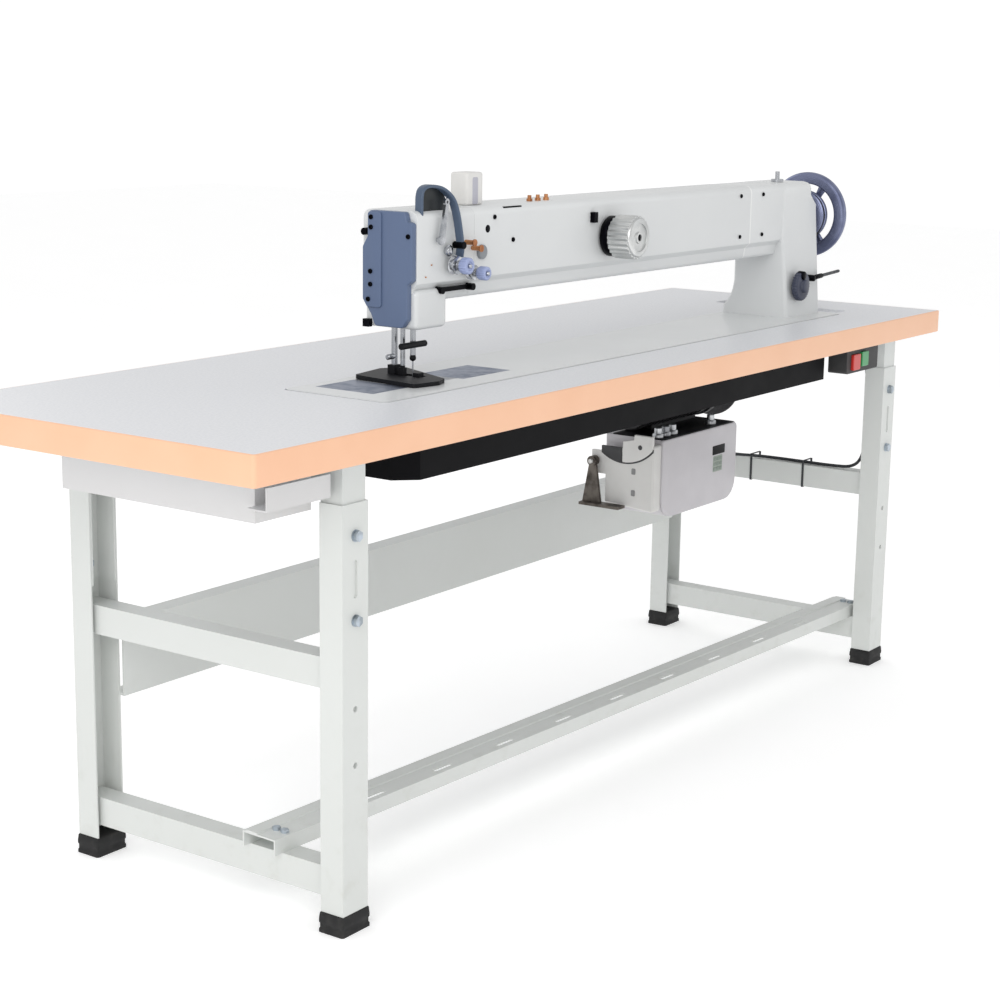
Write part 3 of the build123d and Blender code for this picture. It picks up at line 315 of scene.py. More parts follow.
def eased(points, radii, steps=7):
    """Outline with each corner replaced by an arc: the arc starts radius * tan(half turn) before
    the corner, and its points swing evenly about its centre. All corners are worked at once."""
    corner = np.array(points, dtype=float)
    radius = np.broadcast_to(np.array(radii, dtype=float), len(corner))
    back = np.roll(corner, 1, axis=0) - corner
    on = np.roll(corner, -1, axis=0) - corner
    back /= np.linalg.norm(back, axis=1)[:, None]
    on /= np.linalg.norm(on, axis=1)[:, None]
    half = np.arccos(np.clip((back * on).sum(axis=1), -1.0, 1.0)) / 2.0
    middle = back + on
    middle /= np.linalg.norm(middle, axis=1)[:, None]
    centre = corner + middle * (radius / np.sin(half))[:, None]
    across = on - (on * middle).sum(axis=1)[:, None] * middle
    across /= np.linalg.norm(across, axis=1)[:, None]
    swing = (np.linspace(-1.0, 1.0, steps)[None, :] * (np.pi / 2.0 - half)[:, None])[..., None]
    arc = -np.cos(swing) * middle[:, None, :] + np.sin(swing) * across[:, None, :]
    return (centre[:, None, :] + radius[:, None, None] * arc).reshape(-1, 2)


def inset(outline, amount):
    """Outline moved inwards along the mean of its two edge normals at each point."""
    edge = np.roll(outline, -1, axis=0) - np.roll(outline, 1, axis=0)
    edge /= np.maximum(np.linalg.norm(edge, axis=1), 1e-9)[:, None]
    x, y = outline.T
    turn = np.sign(np.sum(x * np.roll(y, -1) - y * np.roll(x, -1)))
    return outline + amount * turn * np.stack((-edge[:, 1], edge[:, 0]), axis=1)


def slab(name, outline, axis, low, high, edge, finish, body="machine", steps=5):
    """Flat piece with rounded edges: the outline is carried from low to high along the axis,
    drawn in at each end by edge * (1 - cos) as it advances by edge * (1 - sin) of a quarter turn."""
    quarter = np.linspace(0.0, np.pi / 2.0, steps)
    draw = edge * (1.0 - np.sin(quarter))
    advance = edge * (1.0 - np.cos(quarter))
    places = np.concatenate((low + advance, high - advance[::-1]))
    draws = np.concatenate((draw, draw[::-1]))
    first, second = {"X": ("Y", "Z"), "Y": ("X", "Z"), "Z": ("X", "Y")}[axis]
    rings = np.stack([inset(outline, amount) for amount in draws])
    grid = rings[..., :1] * AXES[first] + rings[..., 1:] * AXES[second] + places[:, None, None] * AXES[axis]
    return skin(name, grid, finish, body)


def panel(low, high, radii):
    """Rounded rectangle between two corners, with one radius or four."""
    corners = ((low[0], low[1]), (high[0], low[1]), (high[0], high[1]), (low[0], high[1]))
    return eased(corners, radii)


# ---- Rubber feet ----
# Four moulded black rubber blocks, wider at the base, each with two raised bands round it
# so that it grips the floor. The leg stands in a pocket in its top.

rubber = Finish("foot_rubber", Base_Color=tint(26, 26, 27), Roughness=0.72)
rubber_dust = rubber.ramp(rubber.noise(60.0, 5.0), 0.45, 0.8)
rubber.set(Base_Color=rubber.mix(rubber_dust * 0.3, tint(22, 22, 23), tint(74, 72, 68)))
rubber.bump(rubber.noise(420.0, 3.0), 0.0002, 0.5)
FOOT_BANDS = (
    (0.0, 0.0), (0.004, 0.0), (0.006, 0.0015), (0.012, 0.0015),
    (0.014, 0.0), (0.018, 0.0), (0.0265, 0.0012), (0.028, 0.003),
)
FOOT_MARGIN = np.array((0.0035, 0.0025))
FOOT_CORNER = 0.004
for end in ("front", "rear"):
    for side in ("left", "right"):
        leg_low, leg_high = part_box(f"{end}_{side}_leg")
        foot_low = np.array(leg_low[:2]) - FOOT_MARGIN
        foot_high = np.array(leg_high[:2]) + FOOT_MARGIN
        foot_outline = panel(foot_low, foot_high, FOOT_CORNER)
        rings = np.stack([
            np.column_stack((inset(foot_outline, drawn), np.full(len(foot_outline), height)))
            for height, drawn in FOOT_BANDS
        ])
        foot = skin(f"rubber_foot_{end}_{side}", rings, rubber)
        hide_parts("rubber_feet")

# ---- Fasteners and plated steel ----
# Hexagon bolts with washers and nuts, the support bars, the motor's bracket and the drawer's
# runners: mild steel with a bluish zinc plating that has dulled in patches.


def plated(name, bright, dull, roughness):
    """Metal plating: colour and roughness drift together over the surface, with fine scratches."""
    metal = Finish(name, Metallic=1.0)
    patch = metal.ramp(metal.noise(55.0, 5.0), 0.35, 0.7)
    scratch = metal.noise(900.0, 2.0, metal.stretch(1.0, 0.08, 1.0))
    metal.set(Base_Color=metal.mix(patch, bright, dull))
    metal.set(Roughness=roughness + patch * 0.12 + scratch * 0.06)
    metal.bump(scratch, 0.00003, 0.5)
    return metal


zinc = plated("zinc_plate", tint(196, 206, 216), tint(150, 158, 164), 0.3)
dress(zinc, "stand_bolts", "bed_supports", "motor_bracket", "drawer_runners")

# ---- Table ----
# Laminated board with a pale grey melamine face that has a faint woven fleck, and a peach
# coloured plastic strip, softly rounded, glued round its edge.

melamine = Finish("table_melamine", Roughness=0.34, Coat_Weight=0.1, Coat_Roughness=0.3)
lengthwise = melamine.noise(700.0, 2.0, melamine.stretch(1.0, 0.25, 1.0))
crosswise = melamine.noise(700.0, 2.0, melamine.stretch(0.25, 1.0, 1.0))
fleck = lengthwise + crosswise
fleck_mask = melamine.ramp(fleck, 0.75, 1.3)
handled = melamine.noise(2.2, 3.0)
melamine.set(Base_Color=melamine.mix(fleck_mask, tint(228, 229, 232), tint(216, 218, 222)))
melamine.set(Roughness=0.3 + handled * 0.14)
melamine.bump(fleck, 0.00004, 0.5)
dress(melamine, "table_top")

band_plastic = Finish("edge_band_plastic", Coat_Weight=0.2, Coat_Roughness=0.3)
band_cloud = band_plastic.noise(14.0, 4.0)
band_plastic.set(Base_Color=band_plastic.mix(band_cloud, tint(245, 196, 162), tint(238, 186, 150)))
band_plastic.set(Roughness=0.4 + band_cloud * 0.1)
band_plastic.bump(band_plastic.noise(300.0, 2.0, band_plastic.stretch(0.2, 0.2, 1.0)), 0.00008, 0.4)

BAND_THICKNESS = 0.0025
BAND_SOFTENING = 0.0018
BAND_CORNER = 0.006
band_low, band_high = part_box("edge_band")
band_outline = panel(band_low[:2], band_high[:2], BAND_CORNER)
band_swing = np.linspace(0.0, np.pi / 2.0, 6)
band_in = BAND_SOFTENING * (1.0 - np.sin(band_swing))
band_rise = BAND_SOFTENING * (1.0 - np.cos(band_swing))
band_section = np.concatenate((
    np.stack((band_in, band_low[2] + band_rise), axis=1),
    np.stack((band_in[::-1], band_high[2] - band_rise[::-1]), axis=1),
    ((BAND_THICKNESS, band_high[2]), (BAND_THICKNESS, band_low[2])),
))
band_rings = np.stack([
    np.column_stack((inset(band_outline, drawn), np.full(len(band_outline), height)))
    for drawn, height in band_section
])
edge_band = skin("edge_band_strip", band_rings, band_plastic, wrap_rows=True)
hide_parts("edge_band")

# ---- Oil pan and drawer ----
# The pan is folded sheet stoved in black; the drawer is folded sheet in the stand's colour,
# and both hang under the table.

pan_black = Finish("pan_stove_black", Specular_IOR_Level=0.08)
pan_cloud = pan_black.noise(22.0, 4.0)
pan_black.set(Base_Color=pan_black.mix(pan_cloud, tint(5, 5, 7), tint(12, 12, 15)))
pan_black.set(Roughness=0.42 + pan_cloud * 0.2)
pan_black.bump(pan_black.noise(600.0), 0.0001, 0.4)
dress(pan_black, "oil_pan")
drawer_coat = powder_coat("drawer_powder_coat", tint(218, 217, 217), tint(194, 194, 192))
dress(drawer_coat, "drawer")

# ---- Switch box ----
# Moulded black case under the front edge with a square red stop button and a green start
# button, both in glossy plastic.


def moulded(name, colour, shade, roughness, grain=0.00006, coat=0.0):
    """Moulded plastic: fine spark-eroded grain and a slow drift of shade."""
    plastic = Finish(name, Coat_Weight=coat, Coat_Roughness=0.15)
    cloud = plastic.noise(26.0, 3.0)
    plastic.set(Base_Color=plastic.mix(cloud, colour, shade), Roughness=roughness + cloud * 0.1)
    plastic.bump(plastic.noise(1600.0, 2.0), grain, 0.5)
    return plastic


dress(moulded("switch_case", tint(60, 60, 60), tint(44, 44, 45), 0.5), "switch_box")
dress(moulded("stop_red", tint(206, 46, 36), tint(188, 36, 30), 0.25, 0.00001, 0.5), "stop_button")
dress(moulded("start_green", tint(38, 150, 84), tint(28, 132, 70), 0.25, 0.00001, 0.5), "start_button")

# ---- Motor and control box ----
# Servo motor with a cast black housing, hung over a pale grey control box whose front cover
# carries a dark display window and a grey key pad. A white end cover holds the speed lever.

cast_black = Finish("motor_cast_black", Metallic=0.0)
cast_cloud = cast_black.noise(40.0, 5.0)
cast_black.set(Base_Color=cast_black.mix(cast_cloud, tint(44, 44, 46), tint(74, 74, 76)))
cast_black.set(Roughness=0.5 + cast_cloud * 0.2)
cast_black.bump(cast_black.noise(260.0, 4.0), 0.0004, 0.6)
dress(cast_black, "motor_body")
case_grey = moulded("control_case", tint(206, 203, 206), tint(196, 193, 197), 0.42)
dress(case_grey, "control_box")
cover_white = moulded("cover_white", tint(226, 225, 223), tint(214, 213, 210), 0.45)
dress(cover_white, "end_cover")
panel_low, panel_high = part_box("control_panel")
panel_grey = moulded("control_panel_grey", tint(208, 205, 209), tint(199, 196, 200), 0.36)
dress(panel_grey, "control_panel")
dress(plated("speed_lever_steel", tint(120, 114, 108), tint(84, 78, 74), 0.45), "speed_lever")

COVER_FRONT = -0.010
COVER_RADII = (0.038, 0.038, 0.010, 0.003)
cover_outline = panel((panel_low[0], panel_low[2]), (panel_high[0], panel_high[2]), COVER_RADII)
front_cover = slab("control_front_cover", cover_outline, "Y", COVER_FRONT, panel_high[1], 0.0022, panel_grey)
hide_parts("control_panel")
display_black = moulded("display_window_black", tint(5, 4, 8), tint(11, 9, 14), 0.3, 0.000004, 0.0)
display_black.set(Specular_IOR_Level=0.15)
COVER_BURIED = COVER_FRONT + 0.001
window_outline = panel((0.6095, 0.4165), (0.6545, 0.4335), 0.0015)
window_front = COVER_FRONT - 0.0008
window = slab("display_window", window_outline, "Y", window_front, COVER_BURIED, 0.0004, display_black)
pad_green = moulded("key_pad_green", tint(168, 178, 168), tint(154, 164, 155), 0.5)
key_grey = moulded("key_grey_green", tint(150, 160, 152), tint(138, 148, 140), 0.45)
pad_outline = panel((0.6125, 0.3840), (0.6465, 0.4140), 0.002)
pad = slab("key_pad", pad_outline, "Y", COVER_FRONT - 0.0004, COVER_BURIED, 0.0002, pad_green)
FIRST_KEY = (0.6145, 0.3860)
KEY_PITCH = (0.0108, 0.0094)
KEY_SIZE = (0.0084, 0.0064)
for key_row in range(3):
    for key_column in range(3):
        key_x = FIRST_KEY[0] + KEY_PITCH[0] * key_column
        key_z = FIRST_KEY[1] + KEY_PITCH[1] * key_row
        key_outline = panel((key_x, key_z), (key_x + KEY_SIZE[0], key_z + KEY_SIZE[1]), 0.0015)
        key_name = f"key_{key_row}{key_column}"
        key = slab(key_name, key_outline, "Y", COVER_FRONT - 0.0013, COVER_FRONT, 0.0004, key_grey)
lid_outline = panel((0.4325, -0.0085), (0.6915, 0.101), 0.006)
lid = slab("box_lid", lid_outline, "Z", 0.4685, 0.4705, 0.0006, display_black)
shell_silver = plated("connector_silver", tint(206, 208, 210), tint(150, 152, 156), 0.25)
connector_outline = (
    (0.0, 0.0), (0.0, 0.0102), (0.0065, 0.0102), (0.0085, 0.0092),
    (0.0086, 0.0072), (0.0178, 0.0070), (0.0182, 0.0064), (0.0182, 0.0),
)
CONNECTOR_GRIP = (16, 0.012)
for number, connector_x in enumerate((0.450, 0.476, 0.500, 0.640)):
    place = (connector_x, 0.014, 0.469)
    connector = turned(
        f"connector_{number}", connector_outline, place, "Z", shell_silver, turns=40, flutes=CONNECTOR_GRIP
    )

CRADLE_CENTRE = np.array((0.055, 0.505))
CRADLE_RADIUS = 0.0805
COVER_FACE = 0.404


def cradle_curve(radius, first_y, last_y, count=24):
    """Lower arc of the motor's cradle: z = centre - sqrt(radius^2 - (y - centre)^2)."""
    y = np.linspace(first_y, last_y, count)
    z = CRADLE_CENTRE[1] - np.sqrt(radius**2 - (y - CRADLE_CENTRE[0]) ** 2)
    return np.stack((y, z), axis=1)


cradle_outline = np.concatenate((
    cradle_curve(CRADLE_RADIUS - 0.002, -0.004, 0.0575),
    ((0.0585, 0.447), (0.057, 0.464), (0.034, 0.469), (0.0335, 0.4785), (-0.004, 0.4785)),
))
cradle_ends = (COVER_FACE - 0.0025, COVER_FACE + 0.005)
cradle = slab("motor_cradle", cradle_outline, "X", *cradle_ends, 0.0008, cover_white)
belly_curve = cradle_curve(CRADLE_RADIUS - 0.001, 0.0595, 0.103)
belly_outline = np.concatenate((belly_curve, ((0.103, 0.452), (0.0595, 0.452))))
belly = slab("motor_belly", belly_outline, "X", COVER_FACE - 0.0015, COVER_FACE + 0.005, 0.0008, cast_black)
# Dark band along the cradle's lower arc: painted shade, standing in for the shadow in the gap between the
# cradle and the end cover.
shadow_gap_outline = np.concatenate((
    cradle_curve(CRADLE_RADIUS + 0.001, -0.005, 0.103),
    cradle_curve(CRADLE_RADIUS - 0.0028, -0.005, 0.103)[::-1],
))
shadow_gap_strip = slab("cradle_shadow_gap", shadow_gap_outline, "X", COVER_FACE - 0.0012, COVER_FACE + 0.002, 0.0004, cast_black)
cradle_hole_outline = ((0.0, 0.0), (0.0, 0.0042), (0.0012, 0.0046), (0.003, 0.0046), (0.003, 0.0))
cradle_hole_place = (COVER_FACE - 0.003, 0.021, 0.457)
hole = turned("cradle_hole", cradle_hole_outline, cradle_hole_place, "X", cast_black, turns=32)
recess_grey = moulded("cover_recess_grey", tint(150, 150, 150), tint(128, 128, 129), 0.5)
for number, clip_z in enumerate((0.411, 0.3715)):
    clip_outline = panel((0.031, clip_z - 0.005), (0.039, clip_z + 0.006), 0.002)
    clip_ends = (COVER_FACE - 0.001, COVER_FACE + 0.001)
    clip = slab(f"cover_clip_{number}", clip_outline, "X", *clip_ends, 0.0004, recess_grey)

# ---- Belt, pulley and lead ----
# Rubber belt between the motor's steel pulley and the handwheel, and the black rubber lead
# strapped along the rail with plastic ties.

belt_rubber = Finish("belt_rubber", Base_Color=tint(30, 30, 30), Roughness=0.75)
belt_rubber.bump(belt_rubber.noise(500.0, 3.0, belt_rubber.stretch(1.0, 0.2, 0.2)), 0.0002, 0.6)
belt_rubber.set(Base_Color=belt_rubber.mix(belt_rubber.noise(90.0, 4.0), tint(24, 24, 24), tint(48, 47, 46)))
dress(belt_rubber, "drive_belt")
lead_sheath = moulded("lead_sheath", tint(52, 54, 58), tint(38, 40, 44), 0.5)
dress(lead_sheath, "lead_ties")
LEAD_DIAMETER = 0.006
LEAD_EXIT = (0.700, 0.070, 0.392)
lead_route = (
    LEAD_EXIT, (0.760, 0.072, 0.389), (0.822, 0.060, 0.380), (0.859, 0.018, 0.3758), (0.862, -0.055, 0.3754),
    (0.859, -0.135, 0.3755), (0.861, -0.180, 0.378), (0.862, -0.198, 0.406), (0.863, -0.199, 0.470),
    (0.861, -0.198, 0.540), (0.853, -0.197, 0.582), (0.818, -0.199, 0.598), (0.778, -0.226, 0.612),
    (0.745, -0.258, 0.620), (0.717, -0.264, 0.621),
)
lead_curve = bpy.data.curves.new("switch_lead_line", "CURVE")
lead_curve.dimensions = "3D"
lead_line = lead_curve.splines.new("NURBS")
lead_line.points.add(len(lead_route) - 1)
for point, place in zip(lead_line.points, lead_route):
    point.co = (*place, 1.0)
lead_line.order_u = 3
lead_line.use_endpoint_u = True
lead_line.resolution_u = 8
lead_curve.bevel_depth = LEAD_DIAMETER / 2
lead_curve.bevel_resolution = 5
lead_curve.use_fill_caps = True
lead_curve.materials.append(lead_sheath.material)
lead = bpy.data.objects.new("switch_lead_cable", lead_curve)
bpy.context.collection.objects.link(lead)
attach(lead, "machine")
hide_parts("switch_lead")
ground_steel = plated("ground_steel", tint(214, 215, 216), tint(184, 186, 188), 0.2)
dress(ground_steel, "motor_pulley", "arm_shaft", "hook_shaft")

# ---- Bed and plates ----
# The bed casting is enamelled in the machine's grey-white; the plates let into it are
# ground steel, the two outer ones with a blue-grey tinge.


def enamel(name, clean, shade, gloss=0.35):
    """Sprayed enamel on a casting: faint waviness under a clear gloss, with a little shade drift."""
    paint = Finish(name, Coat_Weight=gloss, Coat_Roughness=0.12, Specular_IOR_Level=0.3 + 0.5 * gloss)
    drift = paint.noise(7.0, 4.0)
    paint.set(Base_Color=paint.mix(drift, clean, shade), Roughness=0.34 + drift * 0.1)
    paint.bump(paint.noise(240.0, 3.0) + paint.noise(900.0) * 0.3, 0.00012, 0.5)
    return paint


head_enamel = enamel("head_enamel", tint(221, 223, 223), tint(213, 215, 216))
dress(head_enamel, "bed", "column", "arm", "needle_head")
dress(plated("plate_ground", tint(186, 188, 192), tint(160, 163, 168), 0.3), "needle_plate")
plate_blue = plated("plate_blue_grey", tint(142, 149, 166), tint(124, 133, 151), 0.34)
dress(plate_blue, "left_cover_plate", "right_cover_plate")

# ---- Arm and column ----
# Iron castings with generous rounded corners. The arm is bolted to the column's root, and
# the joint between them shows as a pale filled strip.


def casting_section(low_y, high_y, low_z, high_z, lip):
    """Arm section: square shoulders rounded at the top, and a drawn-in rounded lip below."""
    corners = (
        (low_y, low_z + lip),
        (low_y + 0.009, low_z + lip - 0.008),
        (low_y + 0.012, low_z),
        (high_y, low_z),
        (high_y, high_z),
        (low_y, high_z),
    )
    return eased(corners, (0.003, 0.003, 0.008, 0.008, 0.0125, 0.0125))[::-1]


arm_low, arm_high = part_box("arm")
ARM_LIP = 0.028
CASTING_EDGE = 0.0006
JOINT_WIDTH = 0.004
arm_section = casting_section(arm_low[1], arm_high[1], arm_low[2], arm_high[2], ARM_LIP)
arm_right = arm_high[0] - JOINT_WIDTH
arm_casting = slab("arm_casting", arm_section, "X", arm_low[0], arm_right, CASTING_EDGE, head_enamel)
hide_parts("arm")

column_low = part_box("column")[0]
PILLAR_LEFT = 0.635
strip_section = inset(arm_section, 0.0004)
root = slab("arm_root", strip_section, "X", column_low[0], PILLAR_LEFT + 0.012, CASTING_EDGE, head_enamel)
joint_filler = enamel("joint_filler", tint(240, 241, 240), tint(232, 233, 232))
joint_left = column_low[0] - JOINT_WIDTH
joint_strip = slab("joint_strip", strip_section, "X", joint_left, column_low[0], 0.0001, joint_filler)
height = np.array((
    0.681, 0.6845, 0.690, 0.696, 0.704, 0.714, 0.728, 0.742, 0.80,
    0.872, 0.878, 0.8875, 0.897, 0.908, 0.914, 0.9186, 0.921,
))
right = np.interp(height, (0.681, 0.878, 0.897, 0.921), (0.765, 0.772, 0.750, 0.750))
front = np.interp(height, (0.681, 0.872, 0.921), (-0.138, -0.120, -0.120))
rear = np.interp(
    height,
    (0.681, 0.696, 0.704, 0.714, 0.728, 0.742, 0.921),
    (-0.004, -0.005, -0.0115, -0.018, -0.0225, -0.025, -0.025),
)
crown = np.interp(height, (0.908, 0.914, 0.9186, 0.921), (0.0, 0.0016, 0.0056, 0.0128))


def pillar_ring(z, x_right, y_front, y_rear, draw):
    """Rounded rectangle round the pillar at one height, drawn in towards its crown."""
    low = (PILLAR_LEFT + draw * 0.3, y_front + draw)
    high = (x_right - draw * 0.5, y_rear - draw)
    outline = panel(low, high, 0.007)
    return np.column_stack((outline, np.full(len(outline), z)))


pillar_rings = np.stack([pillar_ring(*station) for station in zip(height, right, front, rear, crown)])
pillar = skin("column_casting", pillar_rings, head_enamel, smooth=40.0)
for piece in (root, pillar):
    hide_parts("column")

# ---- Needle head ----
# Casting at the end of the arm: the upper box carries on the arm's section, and the jaw
# below it guides the bars.

head_low, head_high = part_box("needle_head")
JAW_RIGHT = -0.362
head_right = head_high[0] - 0.0004
upper_head = slab("needle_head_casting", arm_section, "X", head_low[0], head_right, CASTING_EDGE, head_enamel)
jaw_outline = panel((head_low[0], head_low[2]), (JAW_RIGHT, 0.812), 0.008)
jaw = slab("needle_head_jaw", jaw_outline, "Y", -0.119, -0.028, 0.006, head_enamel)
for piece in (upper_head, jaw):
    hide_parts("needle_head")

# ---- Face plate ----
# Slate-blue cover over the end of the head, in two levels: a flat front panel and a raised
# rear panel with its own rounded corners. Dark socket screws hold it.

slate = enamel("face_slate_blue", tint(98, 114, 144), tint(90, 105, 134), 0.06)
face_low, face_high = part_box("face_plate")
face_outline = eased(
    (
        (-0.119, 0.826), (-0.111, 0.820), (-0.111, 0.772), (-0.102, 0.760), (-0.054, 0.760),
        (-0.047, 0.776), (-0.033, 0.795), (-0.033, 0.871), (-0.042, 0.886), (-0.042, 0.920),
        (-0.106, 0.920), (-0.110, 0.907), (-0.119, 0.905),
    ),
    (0.003, 0.003, 0.005, 0.006, 0.006, 0.004, 0.005, 0.005, 0.004, 0.006, 0.004, 0.002, 0.004),
)
cover = slab("face_cover", face_outline, "X", face_low[0] + 0.003, face_high[0], 0.002, slate)
rear_outline = eased(
    (
        (-0.067, 0.786), (-0.042, 0.786), (-0.0345, 0.797), (-0.0345, 0.870),
        (-0.0435, 0.885), (-0.0435, 0.9185), (-0.067, 0.9185),
    ),
    (0.005, 0.004, 0.005, 0.005, 0.004, 0.004, 0.005),
)
raised = slab("face_cover_raised_panel", rear_outline, "X", face_low[0], face_low[0] + 0.004, 0.0015, slate)
for piece in (cover, raised):
    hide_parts("face_plate")

oxide = plated("black_oxide", tint(13, 13, 17), tint(24, 24, 29), 0.42)
SCREW_HEIGHT = 0.0023
screw_head = (
    (0.0, 0.0), (0.0, 0.0034), (0.0017, 0.0034), (SCREW_HEIGHT, 0.0028),
    (SCREW_HEIGHT, 0.0017), (0.0009, 0.0015), (0.0009, 0.0),
)
screw_facing_left = [(-along, radius) for along, radius in screw_head]
screw_facing_front = [(SCREW_HEIGHT - along, radius) for along, radius in screw_head]
face_screws = (
    (0.911, -0.050), (0.897, -0.050), (0.836, -0.049), (0.818, -0.049), (0.797, -0.045), (0.887, -0.113),
)
for number, (screw_z, screw_y) in enumerate(face_screws):
    depth = 0.003 if screw_y < -0.1 else 0.0
    screw_place = (face_low[0] + depth, screw_y, screw_z)
    screw = turned(f"face_screw_{number}", screw_facing_left, screw_place, "X", oxide, turns=24)
    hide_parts("head_screws")
FRONT_SCREW_Y = -0.1222
front_screws = (
    (-0.252, 0.905), (-0.205, 0.870), (0.480, 0.905), (0.480, 0.835), (0.560, 0.905), (0.560, 0.835),
)
for number, (screw_x, screw_z) in enumerate(front_screws):
    screw_place = (screw_x, FRONT_SCREW_Y, screw_z)
    screw = turned(f"front_screw_{number}", screw_facing_front, screw_place, "Y", oxide, turns=24)
    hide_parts("head_screws")

# ---- Take-up guard ----
# Moulded hood, enamelled slate blue, that arches over the take-up lever: its bow rises
# from the shoulder of the head, bends over and runs down the front. A dark sheet behind the
# arch is painted shade, standing in for the shade inside the hood.


def circle_of(count):
    """Evenly spaced points round a circle of radius one."""
    angle = np.linspace(0.0, 2.0 * np.pi, count, endpoint=False)
    return np.stack((np.cos(angle), np.sin(angle)), axis=1)


def carried(name, section, path, up, finish, body="machine", closed=False, capped=True):
    """Section carried along a path: at each point the section's two axes are the direction
    square to the path and to up, and the direction square to both."""
    path = np.array(path, dtype=float)
    heading = np.gradient(path, axis=0)
    if closed:
        heading = np.roll(path, -1, axis=0) - np.roll(path, 1, axis=0)
    heading /= np.linalg.norm(heading, axis=1)[:, None]
    side = np.cross(heading, np.array(up, dtype=float))
    side /= np.linalg.norm(side, axis=1)[:, None]
    over = np.cross(side, heading)
    grid = path[:, None] + section[None, :, :1] * side[:, None] + section[None, :, 1:] * over[:, None]
    return skin(name, grid, finish, body, wrap_rows=closed, capped=capped)


def flowing(points, count=60):
    """Smooth open curve through points by Catmull-Rom blending of four neighbours."""
    points = np.array(points, dtype=float)
    padded = np.concatenate((2 * points[:1] - points[1:2], points, 2 * points[-1:] - points[-2:-1]))
    along = np.linspace(0.0, len(points) - 1 - 1e-9, count)
    index = along.astype(int)
    step = (along - index)[:, None]
    before, start, stop, after = (padded[index + offset] for offset in range(4))
    curve = 2 * start + (stop - before) * step + (2 * before - 5 * start + 4 * stop - after) * step**2
    return 0.5 * (curve + (3 * start - before - 3 * stop + after) * step**3)


guard_slate = enamel("guard_slate_blue", tint(84, 100, 122), tint(70, 84, 104), 0.12)
guard_route = (
    (-0.4186, -0.1120, 0.9140), (-0.4184, -0.1120, 0.9290), (-0.4178, -0.1120, 0.9410),
    (-0.4140, -0.1120, 0.9495), (-0.4055, -0.1130, 0.9535), (-0.3925, -0.1140, 0.9535),
    (-0.3770, -0.1160, 0.9505), (-0.3645, -0.1190, 0.9430), (-0.3570, -0.1230, 0.9320),
    (-0.3535, -0.1270, 0.9147), (-0.3500, -0.1290, 0.8924), (-0.3470, -0.1300, 0.8700),
    (-0.3448, -0.1270, 0.8555),
)
guard_section = panel((-0.0024, -0.0065), (0.0024, 0.0065), 0.0021)
guard = carried("take_up_guard_bow", guard_section, flowing(guard_route, 90), (0, 1, 0), guard_slate)
# Dark sheet under the arch: painted shade for the hollow inside the hood.
hood_painted_shade = enamel("guard_inside_painted_shade", tint(46, 50, 52), tint(34, 37, 39), 0.05)
hood_arch = flowing([(x, z) for x, _, z in guard_route[:9]], 40)
hood_outline = np.concatenate((hood_arch, ((-0.3545, 0.9140),)))
hood_shade_sheet = slab("take_up_guard_shade_sheet", hood_outline, "Y", -0.1125, -0.1105, 0.0006, hood_painted_shade)
for piece in (guard, hood_shade_sheet):
    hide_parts("take_up_guard")

chrome = plated("chrome_polish", tint(196, 198, 202), tint(160, 163, 168), 0.12)
dress(chrome, "take_up_lever", "bobbin_winder")

# ---- Thread tensions ----
# Chromed disc pairs on posts, conical springs and fluted lavender-blue thumb nuts, with a
# blackened linkage and release knob round them and a grey button on the arm.

dial_blue = moulded("tension_dial_blue", tint(160, 172, 210), tint(146, 158, 198), 0.3, 0.00002, 0.3)
NUT_FLUTES = (18, 0.045)
DISC_Y = -0.134
SPRING_END_Y = -0.1375
SPRING_COILS = 5
WIRE_RADIUS = 0.0005
for name in ("upper_tension_dial", "lower_tension_dial"):
    dial_low, dial_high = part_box(name)
    middle_x = (dial_low[0] + dial_high[0]) / 2
    middle_z = (dial_low[2] + dial_high[2]) / 2
    nut_place = (middle_x, dial_low[1], middle_z)
    radius = (dial_high[0] - dial_low[0]) / 2 - 0.0004
    length = dial_high[1] - dial_low[1]
    nut_outline = (
        (length, 0.0034), (length, radius * 0.8), (length - 0.002, radius * 0.94), (length - 0.003, radius),
        (0.002, radius), (0.0006, radius * 0.95), (0.0, radius * 0.86), (0.0, radius * 0.6),
        (0.0016, radius * 0.5), (0.0016, 0.0034),
    )
    nut = turned(f"{name}_nut", nut_outline, nut_place, "Y", dial_blue, name, 108, NUT_FLUTES, ring=True)
    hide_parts(name)
    stud_outline = ((-0.0018, 0.0), (-0.0018, 0.0022), (-0.001, 0.0028), (0.03, 0.0028), (0.03, 0.0))
    stud = turned(f"{name}_stud", stud_outline, nut_place, "Y", chrome, turns=32)
    disc_outline = (
        (0.0, 0.003), (0.0, radius * 0.75), (-0.0022, radius * 1.12), (-0.0014, radius * 1.14),
        (0.001, radius * 0.8), (0.0035, radius * 0.8), (0.0059, radius * 1.14), (0.0067, radius * 1.12),
        (0.0045, radius * 0.75), (0.0045, 0.003),
    )
    disc_place = (middle_x, DISC_Y, middle_z)
    disc = turned(f"{name}_discs", disc_outline, disc_place, "Y", chrome, turns=48, ring=True)
    turn_angle = np.linspace(0.0, 2.0 * SPRING_COILS * np.pi, 130)
    coil_radius = radius * (0.42 + 0.25 * turn_angle / turn_angle[-1])
    coil_x = middle_x + coil_radius * np.cos(turn_angle)
    coil_y = dial_high[1] + (SPRING_END_Y - dial_high[1]) * turn_angle / turn_angle[-1]
    coil_z = middle_z + coil_radius * np.sin(turn_angle)
    coil_path = np.stack((coil_x, coil_y, coil_z), axis=1)
    spring = carried(f"{name}_spring", WIRE_RADIUS * circle_of(8), coil_path, (0, 1, 0), chrome)
    for piece in (stud, disc, spring):
        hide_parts("tension_block")

